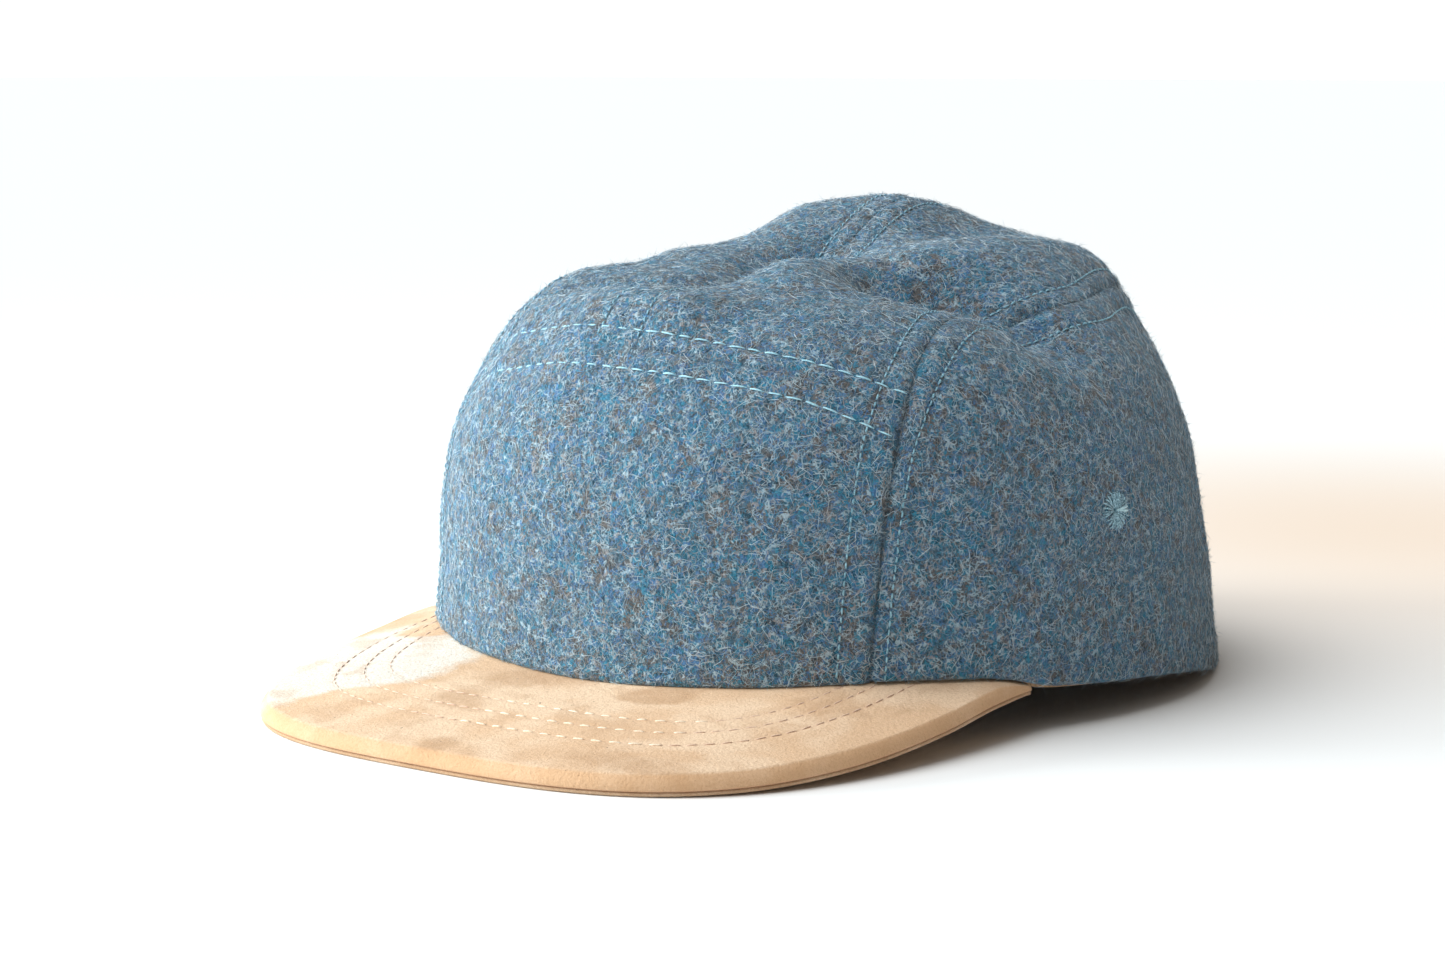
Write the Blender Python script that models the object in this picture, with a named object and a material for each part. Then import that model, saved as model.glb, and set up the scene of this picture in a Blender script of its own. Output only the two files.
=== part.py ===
"""A five-panel wool cap with a flat suede brim, standing by itself on a flat surface.

The crown is one smooth surface, made of upright sections round the rim and a short table of folds.
Seams are drawn on that surface, each panel is the patch between its seams, and the wool has a real wall.
Metres, +Z up. The brim points to -Y and the wearer's left side is +X.
"""
from collections import namedtuple
import math

import bmesh
import bpy
import numpy as np
from mathutils import Vector

# Rim, measured on the outside of the wool, from the middle of the head opening
RIM_HALF_WIDTH = 0.0906
RIM_FRONT_REACH = 0.0956
RIM_REAR_REACH = 0.0983
RIM_SQUARENESS = 2.15
RIM_LIFT = 0.0125

# Crown
CROWN_HEIGHT = 0.0985
WOOL_WALL = 0.0024
SEAM_GAP = 0.0003

# Brim
BRIM_REACH = 0.0521
BRIM_OVERHANG = 0.0002
BRIM_SQUARENESS = 3.05
BRIM_CORNER_BACK = 0.0543
BRIM_CORNER_DROP = 0.0005
BRIM_TOP_WALL = 0.0031
BRIM_UNDER_WALL = 0.0008
BRIM_ROLL = 0.0020

# Sweatband
BAND_WALL = 0.0012
BAND_HEIGHT = 0.028
BAND_PEEK = 0.0008

# Eyelets
EYELET_DIAMETER = 0.0090
EYELET_HOLE = 0.0016
EYELET_THREAD = 0.0007
EYELET_TURN = 81.05
EYELET_RISE = 0.255

# Clearance between pieces that touch on the real cap
PIECE_GAP = 0.0003

# Facets
TOP_COLUMNS = 12
LEG_ROWS = 10
SIDE_COLUMNS = 17
BRIM_COLUMNS = 40
BRIM_ROWS = 5
BAND_COLUMNS = 72
BAND_ROWS = 4
ROUND_SIDES = 16
SHARP_ANGLE = 40

# Steps along a curve before it is divided evenly
SEAM_STEPS = 8
CURVE_STEPS = 60
OUTLINE_STEPS = 400

# Crown sections: turn from the front in degrees, how square the wall turns into the roof,
# and how far the wall leans in, as a share of its distance from the middle
Section = namedtuple("Section", "turn squareness lean")
SECTIONS = (
    Section(0, 4.3, 0.03),
    Section(60, 4.2, 0.03),
    Section(120, 4.4, 0.13),
    Section(180, 4.0, 0.11),
)

# Height of the rim over the table, as shares of RIM_LIFT, by turn from the front in degrees
RimPoint = namedtuple("RimPoint", "turn lift")
RIM_LINE = (
    RimPoint(0, 0.90),
    RimPoint(22, 1.00),
    RimPoint(42, 1.12),
    RimPoint(54, 1.09),
    RimPoint(60, 1.01),
    RimPoint(67, 0.81),
    RimPoint(76, 0.71),
    RimPoint(90, 0.58),
    RimPoint(105, 0.35),
    RimPoint(122, 0.05),
    RimPoint(140, 0.0),
    RimPoint(180, 0.0),
)

# Height of the roof before its folds, as shares of CROWN_HEIGHT, along the middle from front to back.
# Along is a share of the front reach ahead of the middle and of the rear reach behind it
RoofPoint = namedtuple("RoofPoint", "along height")
ROOF_LINE = (
    RoofPoint(-1.0, 0.975),
    RoofPoint(-0.7, 0.985),
    RoofPoint(-0.3, 0.99),
    RoofPoint(0.2, 1.02),
    RoofPoint(0.6, 1.0),
    RoofPoint(1.0, 0.95),
)

# Folds and dents: each runs from one place to another, across as shares of RIM_HALF_WIDTH, along as shares
# of the reaches, up as shares of CROWN_HEIGHT. Width and depth are shares of CROWN_HEIGHT, and a
# negative depth is a dent
Fold = namedtuple("Fold", "name across0 along0 up0 across1 along1 up1 width depth0 depth1")
FOLDS = (
    Fold("front_crest", -0.34, -0.70, 0.93, 0.10, -0.74, 0.95, 0.10, 0.048, 0.050),
    Fold("near_ridge", 0.21, -0.41, 1.0, 0.56, 0.34, 1.0, 0.15, 0.050, 0.055),
    Fold("far_ridge", -0.56, -0.50, 0.95, -0.42, -0.20, 1.0, 0.16, 0.035, 0.050),
    Fold("rear_peak", -0.19, 0.20, 1.0, -0.08, 0.28, 1.0, 0.18, 0.110, 0.120),
    Fold("rear_saddle", 0.08, 0.44, 1.0, 0.36, 0.50, 1.0, 0.15, 0.074, 0.068),
    Fold("valley_front", -0.42, -0.54, 0.93, -0.02, -0.48, 0.95, 0.10, -0.070, -0.060),
    Fold("valley", -0.06, -0.46, 0.95, -0.02, -0.06, 1.0, 0.12, -0.060, -0.085),
    Fold("peak_notch", -0.48, 0.02, 1.0, -0.36, 0.16, 1.0, 0.11, -0.026, -0.030),
    Fold("near_shoulder", 0.46, -0.42, 0.9, 0.54, -0.22, 0.9, 0.16, -0.015, -0.045),
    Fold("far_shoulder", -0.60, -0.62, 0.85, -0.40, -0.70, 0.9, 0.22, -0.064, -0.030),
    Fold("far_brow", -0.35, -0.80, 0.86, -0.15, -0.84, 0.86, 0.14, 0.020, 0.020),
    Fold("far_wall", -0.80, -0.60, 0.32, -0.80, -0.60, 0.50, 0.20, -0.024, -0.018),
    Fold("near_gully", 0.67, -0.14, 0.82, 0.36, -0.27, 0.93, 0.11, -0.210, -0.120),
    Fold("side_hollow", 0.76, -0.10, 0.74, 0.84, 0.02, 0.60, 0.14, -0.018, -0.008),
    Fold("near_bulge", 0.96, 0.14, 0.30, 0.94, 0.14, 0.50, 0.24, 0.022, 0.022),
    Fold("far_bulge", -0.96, 0.14, 0.30, -0.94, 0.14, 0.50, 0.24, 0.022, 0.022),
    Fold("far_gully", -0.62, -0.05, 0.80, -0.40, -0.28, 0.95, 0.13, -0.120, -0.040),
)

# The left side seam on the crown: turn from the front in degrees, rise from the rim to the middle of the
# crown, as a share, and the stretch of the seam that starts or goes on there
SeamPoint = namedtuple("SeamPoint", "turn rise stretch")
SIDE_SEAM = (
    SeamPoint(40.8, 0.0, "front_leg"),
    SeamPoint(42.8, 0.25, "front_leg"),
    SeamPoint(46.0, 0.40, "over_top"),
    SeamPoint(52.0, 0.51, "over_top"),
    SeamPoint(63.0, 0.575, "over_top"),
    SeamPoint(79.0, 0.57, "over_top"),
    SeamPoint(98.0, 0.54, "over_top"),
    SeamPoint(119.0, 0.535, "over_top"),
    SeamPoint(134.0, 0.49, "rear_leg"),
    SeamPoint(144.0, 0.28, "rear_leg"),
    SeamPoint(149.0, 0.0, "rear_leg"),
)
FRONT_SEAM_RISE = 0.488

# The brim from its middle to its corner, by share of its edge: how far its edge has risen from the table to
# the rim, as a share of that height, and how much of BRIM_TOP_WALL is left where the corner is pressed thin
EdgePoint = namedtuple("EdgePoint", "share lift wall")
BRIM_EDGE = (
    EdgePoint(0.0, 0.0, 1.0),
    EdgePoint(0.30, 0.0, 1.0),
    EdgePoint(0.45, 0.04, 1.0),
    EdgePoint(0.60, 0.20, 1.0),
    EdgePoint(0.80, 0.60, 0.97),
    EdgePoint(0.92, 0.915, 0.95),
    EdgePoint(1.0, 1.0, 0.35),
)

# Half sections of an eyelet's two faces, from the hole outwards: out is a share of the way from the hole to
# the eyelet's edge, height a share of EYELET_THREAD over the wool
ThreadPoint = namedtuple("ThreadPoint", "out height")
EYELET_FACE = (
    ThreadPoint(0.0, 0.0),
    ThreadPoint(0.10, 0.8),
    ThreadPoint(0.70, 1.0),
    ThreadPoint(0.94, 0.7),
    ThreadPoint(1.0, 0.3),
    ThreadPoint(1.0, 0.0),
)
EYELET_BACK = (
    ThreadPoint(0.82, 0.0),
    ThreadPoint(0.82, 0.6),
    ThreadPoint(0.10, 0.8),
    ThreadPoint(0.0, 0.0),
)


def between(place, amount, slope, value):
    """A smooth curve through rows of a place and an amount, with a given slope at each row."""
    row = np.clip(np.searchsorted(place, value, side="right") - 1, 0, len(place) - 2)
    width = place[row + 1] - place[row]
    share = (value - place[row]) / width
    rise = share * share * (3 - 2 * share)
    ease_in = share * (1 - share) ** 2 * width * slope[row]
    ease_out = -share * share * (1 - share) * width * slope[row + 1]
    return amount[row] * (1 - rise) + amount[row + 1] * rise + ease_in + ease_out


def smooth(rows, value):
    """Read a table of (place, amount) rows at any place. The curve stays between its rows, so a level
    stretch of the table stays level."""
    place = np.array([row[0] for row in rows], float)
    amount = np.array([row[1] for row in rows], float)
    steps = np.diff(amount) / np.diff(place)
    same_way = steps[:-1] * steps[1:] > 0
    total = np.where(same_way, steps[:-1] + steps[1:], 1.0)
    slope = np.concatenate([[0.0], np.where(same_way, 2 * steps[:-1] * steps[1:] / total, 0.0), [0.0]])
    return between(place, amount, slope, np.clip(value, place[0], place[-1]))


def rim_reach(turn):
    """Distance from the middle to the rim at a turn from the front, in radians."""
    side = np.abs(np.sin(turn))
    ahead = np.abs(np.cos(turn))
    reach = np.where(np.cos(turn) > 0, RIM_FRONT_REACH, RIM_REAR_REACH)
    total = (side / RIM_HALF_WIDTH) ** RIM_SQUARENESS + (ahead / reach) ** RIM_SQUARENESS
    return total ** (-1 / RIM_SQUARENESS)


def rim_height(turn):
    rows = [(row.turn, row.lift) for row in RIM_LINE]
    return RIM_LIFT * smooth(rows, np.degrees(np.abs(turn)))


def along_place(y):
    """A place along the middle as a share of the front or the rear reach."""
    return np.where(y < 0, y / RIM_FRONT_REACH, y / RIM_REAR_REACH)


def crown_base(spot):
    """The crown before its folds. A spot (u, v) lies in a unit disc: its rim is the cap's rim, its middle the
    middle of the roof, and -v is the front."""
    u, v = spot[..., 0], spot[..., 1]
    turn = np.arctan2(u, -v)
    climb = (1 - np.hypot(u, v)) * math.pi / 2
    degrees = np.degrees(np.abs(turn))
    squareness = smooth([(row.turn, row.squareness) for row in SECTIONS], degrees)
    lean = smooth([(row.turn, row.lean) for row in SECTIONS], degrees)
    out = np.cos(climb)
    up = np.sin(climb)
    size = (np.abs(out) ** squareness + np.abs(up) ** squareness) ** (-1 / squareness)
    out = out * size
    up = up * size
    reach = rim_reach(turn) * out * (1 - lean * up)
    x = reach * np.sin(turn)
    y = -reach * np.cos(turn)
    roof = CROWN_HEIGHT * smooth([(row.along, row.height) for row in ROOF_LINE], along_place(y))
    foot = rim_height(turn)
    z = foot + (roof - foot) * up
    return np.stack([x, y, z], -1)


def outward(points):
    """A smooth outward direction for each point, as on an egg the size of the crown."""
    x, y, z = points[..., 0], points[..., 1], points[..., 2]
    reach = np.where(y < 0, RIM_FRONT_REACH, RIM_REAR_REACH)
    way = np.stack([x / RIM_HALF_WIDTH ** 2, y / reach ** 2, np.maximum(z, 0) / CROWN_HEIGHT ** 2], -1)
    return way / np.linalg.norm(way, axis=-1, keepdims=True)


def fold_place(across, along, up):
    reach = RIM_FRONT_REACH if along < 0 else RIM_REAR_REACH
    return np.array([across * RIM_HALF_WIDTH, along * reach, up * CROWN_HEIGHT])


def crown(spot):
    """The outside of the wool, folds included, at spots of the unit disc."""
    points = crown_base(spot)
    shift = np.zeros(points.shape[:-1])
    for fold in FOLDS:
        start = fold_place(fold.across0, fold.along0, fold.up0)
        run = fold_place(fold.across1, fold.along1, fold.up1) - start
        share = np.clip((points - start) @ run / (run @ run), 0, 1)
        away = np.linalg.norm(points - start - share[..., None] * run, axis=-1)
        depth = fold.depth0 + (fold.depth1 - fold.depth0) * share
        shift += depth * CROWN_HEIGHT * np.exp(-(away / (fold.width * CROWN_HEIGHT)) ** 2)
    return points + shift[..., None] * outward(points)


def crown_normal(spot, step=0.002):
    """The wool's outward direction at spots of the unit disc."""
    across = crown(spot + [step, 0]) - crown(spot - [step, 0])
    along = crown(spot + [0, step]) - crown(spot - [0, step])
    normal = np.cross(across, along)
    return normal / np.linalg.norm(normal, axis=-1, keepdims=True)


def disc_spot(turn, rise):
    """A spot of the unit disc from its turn from the front, in radians, and its rise."""
    return np.stack([(1 - rise) * np.sin(turn), -(1 - rise) * np.cos(turn)], -1)


def through(knots):
    """A smooth curve through knots, in SEAM_STEPS steps for each stretch between them."""
    place = np.arange(len(knots), dtype=float)
    steps = np.arange((len(knots) - 1) * SEAM_STEPS + 1) / SEAM_STEPS
    return np.stack([between(place, knots[:, axis], np.gradient(knots[:, axis]), steps)
                     for axis in range(2)], -1)


def evenly(curve, count):
    """The same curve with evenly spaced spots, measured on the crown."""
    fine = np.linspace(0, len(curve) - 1, CURVE_STEPS * len(curve))
    dense = np.stack([np.interp(fine, np.arange(len(curve)), curve[:, axis]) for axis in range(2)], -1)
    lengths = np.linalg.norm(np.diff(crown(dense), axis=0), axis=-1)
    walked = np.concatenate([[0.0], np.cumsum(lengths)])
    stops = np.linspace(0, walked[-1], count + 1)
    return np.stack([np.interp(stops, walked, dense[:, axis]) for axis in range(2)], -1)


def seam_curves():
    """Every seam and rim stretch of the crown, for the left side, as spots of the unit disc."""
    knots = disc_spot(np.radians([row.turn for row in SIDE_SEAM]), np.array([row.rise for row in SIDE_SEAM]))
    whole = through(knots)
    stretches = [row.stretch for row in SIDE_SEAM]
    meets = stretches.index("over_top") * SEAM_STEPS
    turns = stretches.index("rear_leg") * SEAM_STEPS
    front_leg = evenly(whole[:meets + 1], LEG_ROWS)
    over_top = evenly(whole[meets:turns + 1], SIDE_COLUMNS)
    rear_leg = evenly(whole[turns:], LEG_ROWS)
    corner = front_leg[-1]
    middle = disc_spot(0.0, FRONT_SEAM_RISE)
    u = np.linspace(0, corner[0], CURVE_STEPS)
    bow = (corner[1] - middle[1]) * (u / corner[0]) ** 2
    front_seam = evenly(np.stack([u, middle[1] + bow], -1), TOP_COLUMNS)
    back = disc_spot(math.pi, 0.0)
    middle_seam = evenly(np.array([middle, back]), SIDE_COLUMNS + LEG_ROWS)
    front_foot = math.radians(SIDE_SEAM[0].turn)
    rear_foot = math.radians(SIDE_SEAM[-1].turn)
    rim_front = evenly(disc_spot(np.linspace(-front_foot, front_foot, CURVE_STEPS), 0.0), 2 * TOP_COLUMNS)
    rim_side = evenly(disc_spot(np.linspace(front_foot, rear_foot, CURVE_STEPS), 0.0), SIDE_COLUMNS)
    rim_rear = evenly(disc_spot(np.linspace(math.pi, rear_foot, CURVE_STEPS), 0.0), TOP_COLUMNS)
    return {
        "front_leg": front_leg, "over_top": over_top, "rear_leg": rear_leg, "front_seam": front_seam,
        "middle_seam": middle_seam, "rim_front": rim_front, "rim_side": rim_side, "rim_rear": rim_rear,
    }


def mirrored(curve):
    return curve * [-1, 1]


def patch(bottom, top, left, right):
    """A grid of spots between four curves that meet at their ends, row by row from bottom to top."""
    s = np.linspace(0, 1, len(bottom))[None, :, None]
    t = np.linspace(0, 1, len(left))[:, None, None]
    rows = bottom[None] * (1 - t) + top[None] * t
    columns = left[:, None] * (1 - s) + right[:, None] * s
    corners = (bottom[0] * (1 - s) + bottom[-1] * s) * (1 - t) + (top[0] * (1 - s) + top[-1] * s) * t
    return rows + columns - corners


def pull_in(points, sides, gap):
    """Move the named sides of a grid of points in over the surface by half a gap."""
    moved = points.copy()
    inner = {"bottom": (0, 1), "top": (-1, -2)}
    for side in sides:
        if side in inner:
            edge, next_row = inner[side]
            way = points[next_row] - points[edge]
            moved[edge] += way / np.linalg.norm(way, axis=-1, keepdims=True) * gap / 2
        else:
            edge, next_column = (0, 1) if side == "left" else (-1, -2)
            way = points[:, next_column] - points[:, edge]
            moved[:, edge] += way / np.linalg.norm(way, axis=-1, keepdims=True) * gap / 2
    return moved


def material(name, color, roughness):
    made = bpy.data.materials.new(name)
    made.use_nodes = True
    shader = made.node_tree.nodes["Principled BSDF"]
    shader.inputs["Base Color"].default_value = (*color, 1)
    shader.inputs["Roughness"].default_value = roughness
    shader.inputs["Metallic"].default_value = 0.0
    return made


def add_object(name, vertices, faces, finish):
    mesh = bpy.data.meshes.new(name)
    mesh.from_pydata([tuple(vertex) for vertex in vertices], [], faces)
    shape = bmesh.new()
    shape.from_mesh(mesh)
    bmesh.ops.recalc_face_normals(shape, faces=shape.faces)
    shape.to_mesh(mesh)
    shape.free()
    mesh.shade_smooth()
    mesh.set_sharp_from_angle(angle=math.radians(SHARP_ANGLE))
    mesh.materials.append(finish)
    made = bpy.data.objects.new(name, mesh)
    bpy.context.scene.collection.objects.link(made)
    return made


def walled_grid(outer, inner):
    """Vertices and faces of the solid between two grids of points."""
    rows, columns = outer.shape[:2]
    vertices = np.concatenate([outer.reshape(-1, 3), inner.reshape(-1, 3)])
    back = rows * columns

    def at(row, column, side=0):
        return row * columns + column + side * back

    faces = []
    for row in range(rows - 1):
        for column in range(columns - 1):
            quad = [(row, column), (row, column + 1), (row + 1, column + 1), (row + 1, column)]
            faces.append([at(*spot) for spot in quad])
            faces.append([at(*spot, 1) for spot in reversed(quad)])
    loop = [(0, column) for column in range(columns)]
    loop += [(row, columns - 1) for row in range(1, rows)]
    loop += [(rows - 1, column) for column in range(columns - 2, -1, -1)]
    loop += [(row, 0) for row in range(rows - 2, 0, -1)]
    for here, there in zip(loop, loop[1:] + loop[:1]):
        faces.append([at(*here), at(*here, 1), at(*there, 1), at(*there)])
    return vertices, faces


def wool_panel(name, spots, seams, rim, finish):
    """One panel: seams are the sides sewn to a neighbour, rim is the side that lies on the rim."""
    outer = pull_in(crown(spots), seams, SEAM_GAP)
    inner = outer - WOOL_WALL * crown_normal(spots)
    if rim == "bottom":
        inner[0, :, 2] = outer[0, :, 2]
    else:
        inner[-1, :, 2] = outer[-1, :, 2]
    vertices, faces = walled_grid(outer, inner)
    return add_object(name, vertices, faces, finish)


def make_crown(finish):
    seams = seam_curves()
    left_leg = seams["front_leg"]
    front_top = np.concatenate([mirrored(seams["front_seam"])[::-1], seams["front_seam"][1:]])
    front = patch(seams["rim_front"], front_top, mirrored(left_leg), left_leg)
    wool_panel("front_panel", front, ("top", "left", "right"), "bottom", finish)
    outer_edge = np.concatenate([seams["over_top"], seams["rear_leg"][1:]])
    top = patch(seams["front_seam"], seams["rim_rear"], seams["middle_seam"], outer_edge)
    side = patch(seams["rim_side"], seams["over_top"], left_leg, seams["rear_leg"][::-1])
    made = {}
    for word, turn in (("left", [1, 1]), ("right", [-1, 1])):
        wool_panel("top_panel_" + word, top * turn, ("bottom", "left", "right"), "top", finish)
        made[word] = wool_panel("side_panel_" + word, side * turn, ("top", "left", "right"), "bottom", finish)
    return made


def ring_faces(outer, inner):
    """Vertices and faces of the closed ring between two grids of points whose rows run round it."""
    rows, columns = outer.shape[:2]
    loops = np.concatenate([outer, inner[:, ::-1]], axis=1)
    around = 2 * columns
    faces = []
    for row in range(rows):
        there = (row + 1) % rows
        for spot in range(around):
            onward = (spot + 1) % around
            faces.append([row * around + spot, row * around + onward,
                          there * around + onward, there * around + spot])
    return loops.reshape(-1, 3), faces


def make_sweatband(finish):
    """A band that follows the wool inside the rim, and reaches a little lower than the wool at the sides."""
    turn = np.arange(BAND_COLUMNS) / BAND_COLUMNS * 2 * math.pi
    turn = np.where(turn > math.pi, turn - 2 * math.pi, turn)[:, None]
    foot = rim_height(turn)
    climb = np.arctan(BAND_HEIGHT / (CROWN_HEIGHT - foot)) / (math.pi / 2)
    spots = disc_spot(turn, climb * np.linspace(0, 1, BAND_ROWS))
    face = crown(spots)
    normal = crown_normal(spots)
    outer = face - (WOOL_WALL + PIECE_GAP) * normal
    inner = outer - BAND_WALL * normal
    low = np.maximum(foot[:, 0] - BAND_PEEK, PIECE_GAP)
    outer[:, 0, 2] = low
    inner[:, 0, 2] = low
    vertices, faces = ring_faces(outer, inner)
    return add_object("sweatband", vertices, faces, finish)


def plan_evenly(points, count):
    """Evenly spaced points along a flat curve."""
    walked = np.concatenate([[0.0], np.cumsum(np.linalg.norm(np.diff(points, axis=0), axis=-1))])
    stops = np.linspace(0, walked[-1], count + 1)
    return np.stack([np.interp(stops, walked, points[:, axis]) for axis in range(points.shape[1])], -1)


def brim_edges():
    """The brim's inner and outer edge seen from above, its upper face's height at both, and its upper wall."""
    corner_y = BRIM_CORNER_BACK - RIM_FRONT_REACH
    turns = np.linspace(0, math.pi, OUTLINE_STEPS)
    corner_turn = np.interp(corner_y, -rim_reach(turns) * np.cos(turns), turns)
    half_width = rim_reach(corner_turn) * math.sin(corner_turn) + BRIM_OVERHANG
    length = BRIM_REACH + BRIM_CORNER_BACK
    angle = np.linspace(-math.pi / 2, math.pi / 2, OUTLINE_STEPS)
    across = np.abs(np.sin(angle) / half_width) ** BRIM_SQUARENESS
    ahead = np.abs(np.cos(angle) / length) ** BRIM_SQUARENESS
    size = (across + ahead) ** (-1 / BRIM_SQUARENESS)
    outline = np.stack([size * np.sin(angle), corner_y - size * np.cos(angle)], -1)
    outer = plan_evenly(outline, BRIM_COLUMNS)
    share = np.abs(np.linspace(-1, 1, BRIM_COLUMNS + 1))
    wall = BRIM_TOP_WALL * smooth([(row.share, row.wall) for row in BRIM_EDGE], share)
    table_height = BRIM_UNDER_WALL + PIECE_GAP + wall
    climb = rim_height(corner_turn) - BRIM_CORNER_DROP - table_height[-1]
    outer_height = table_height + climb * smooth([(row.share, row.lift) for row in BRIM_EDGE], share)
    turn = np.linspace(-corner_turn, corner_turn, BRIM_COLUMNS + 1)
    reach = rim_reach(turn) - WOOL_WALL
    inner = np.stack([reach * np.sin(turn), -reach * np.cos(turn)], -1)
    return inner, outer, rim_height(turn) - PIECE_GAP, outer_height, wall


def make_brim(cover, under):
    """Two plates that share one bent form: the covered board, and the thin cover under it."""
    inner, outer, inner_height, outer_height, wall = brim_edges()
    length = np.linalg.norm(outer - inner, axis=-1)[:, None]
    roll = np.minimum(BRIM_ROLL * wall[:, None] / BRIM_TOP_WALL, length / 2)
    flat = (length - roll) * np.linspace(0, 1, BRIM_ROWS + 1)
    quarter = np.radians([30, 60, 90])
    across = np.concatenate([flat, length - roll + roll * np.sin(quarter)], axis=1)
    drop = np.concatenate([0 * flat, roll * (1 - np.cos(quarter))], axis=1)
    share = across / length
    level = inner_height[:, None] * (1 - share) + outer_height[:, None] * share
    plan = inner[:, None] * (1 - share[..., None]) + outer[:, None] * share[..., None]

    def sheet(height, pulled=0.0):
        spread = plan - pulled * share[..., None] * ((outer - inner) / length)[:, None]
        return np.concatenate([spread, height[..., None]], -1)

    bottom = level - wall[:, None]
    vertices, faces = walled_grid(sheet(level - drop), sheet(bottom))
    add_object("brim_top", vertices, faces, cover)
    vertices, faces = walled_grid(sheet(bottom - PIECE_GAP, PIECE_GAP),
                                  sheet(bottom - PIECE_GAP - BRIM_UNDER_WALL, PIECE_GAP))
    add_object("brim_under", vertices, faces, under)


def turned(name, profile, sides, finish):
    """A solid turned round Z from a closed profile of (radius, height) points."""
    angle = np.arange(sides) / sides * 2 * math.pi
    rings = [[(r * math.cos(a), r * math.sin(a), h) for r, h in profile] for a in angle]
    count = len(profile)
    faces = []
    for side in range(sides):
        there = (side + 1) % sides
        for spot in range(count):
            onward = (spot + 1) % count
            faces.append([side * count + spot, side * count + onward,
                          there * count + onward, there * count + spot])
    return add_object(name, [vertex for ring in rings for vertex in ring], faces, finish)


def make_eyelet(word, side, panel, finish):
    """A sewn eyelet: thread laid round a hole in the wool, on both faces and through the hole."""
    spot = disc_spot(math.radians(EYELET_TURN), EYELET_RISE) * [side, 1]
    stand = Vector(crown_normal(spot)).to_track_quat("Z", "Y").to_matrix().to_4x4()
    stand.translation = Vector(crown(spot))
    hole = EYELET_HOLE / 2
    sleeve = hole + EYELET_THREAD
    inside = -WOOL_WALL - PIECE_GAP

    def thread_face(rows, level, way):
        reach = EYELET_DIAMETER / 2 - hole
        return [(hole + row.out * reach, level + way * row.height * EYELET_THREAD) for row in rows]

    profile = thread_face(EYELET_FACE, PIECE_GAP, 1)
    profile += [(sleeve, PIECE_GAP), (sleeve, inside)]
    profile += thread_face(EYELET_BACK, inside, -1)
    eyelet = turned("eyelet_" + word, profile, ROUND_SIDES, finish)
    eyelet.matrix_world = stand
    bore = sleeve + PIECE_GAP
    depth = 2 * WOOL_WALL
    cutter = turned("bore_" + word, ((0.0, -depth), (bore, -depth), (bore, depth), (0.0, depth)),
                    ROUND_SIDES, finish)
    shape = bmesh.new()
    shape.from_mesh(cutter.data)
    bmesh.ops.remove_doubles(shape, verts=shape.verts, dist=1e-6)
    bmesh.ops.dissolve_degenerate(shape, edges=shape.edges, dist=1e-6)
    bmesh.ops.recalc_face_normals(shape, faces=shape.faces)
    shape.to_mesh(cutter.data)
    shape.free()
    cutter.matrix_world = stand
    cutter.hide_render = True
    cutter.display_type = "WIRE"
    cut = panel.modifiers.new("eyelet_hole", "BOOLEAN")
    cut.operation = "DIFFERENCE"
    cut.solver = "EXACT"
    cut.object = cutter


def make_all():
    for item in list(bpy.data.objects):
        bpy.data.objects.remove(item, do_unlink=True)
    wool = material("wool", (0.09, 0.17, 0.23), 0.95)
    suede = material("suede", (0.66, 0.44, 0.27), 0.9)
    under = material("under_cover", (0.56, 0.36, 0.22), 0.9)
    band = material("band", (0.62, 0.46, 0.32), 0.8)
    thread = material("thread", (0.22, 0.42, 0.52), 0.7)
    panels = make_crown(wool)
    make_sweatband(band)
    make_brim(suede, under)
    make_eyelet("left", 1, panels["left"], thread)
    make_eyelet("right", -1, panels["right"], thread)
    middle = (RIM_REAR_REACH - RIM_FRONT_REACH - BRIM_REACH) / 2
    for item in bpy.context.scene.objects:
        item.location.y -= middle


make_all()
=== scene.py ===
import math

import bmesh
import bpy
import numpy as np
from mathutils import Matrix, Vector, noise
from mathutils.bvhtree import BVHTree
from mathutils.kdtree import KDTree


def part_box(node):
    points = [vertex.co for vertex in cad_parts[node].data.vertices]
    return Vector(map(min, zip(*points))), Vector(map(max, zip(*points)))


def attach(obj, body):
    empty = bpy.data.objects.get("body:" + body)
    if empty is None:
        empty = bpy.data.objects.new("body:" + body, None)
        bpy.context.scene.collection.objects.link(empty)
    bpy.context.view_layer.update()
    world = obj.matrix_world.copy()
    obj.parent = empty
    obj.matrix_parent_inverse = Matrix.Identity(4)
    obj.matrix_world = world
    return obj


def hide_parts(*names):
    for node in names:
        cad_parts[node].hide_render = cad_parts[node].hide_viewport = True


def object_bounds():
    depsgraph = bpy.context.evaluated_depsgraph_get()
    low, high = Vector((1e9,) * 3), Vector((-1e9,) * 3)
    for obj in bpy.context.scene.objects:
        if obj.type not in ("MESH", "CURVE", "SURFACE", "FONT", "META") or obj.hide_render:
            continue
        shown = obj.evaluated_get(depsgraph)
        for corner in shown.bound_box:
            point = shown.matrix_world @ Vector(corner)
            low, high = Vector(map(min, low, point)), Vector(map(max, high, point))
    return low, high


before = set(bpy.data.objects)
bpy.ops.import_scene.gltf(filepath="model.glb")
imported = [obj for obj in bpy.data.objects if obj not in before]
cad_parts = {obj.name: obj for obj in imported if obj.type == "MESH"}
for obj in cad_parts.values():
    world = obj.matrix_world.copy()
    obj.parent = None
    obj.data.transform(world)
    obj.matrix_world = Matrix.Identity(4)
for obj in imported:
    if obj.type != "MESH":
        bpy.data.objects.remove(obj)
cadLow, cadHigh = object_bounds()
print("frame loaded with", len(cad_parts), "nodes")

mm = 0.001

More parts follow.
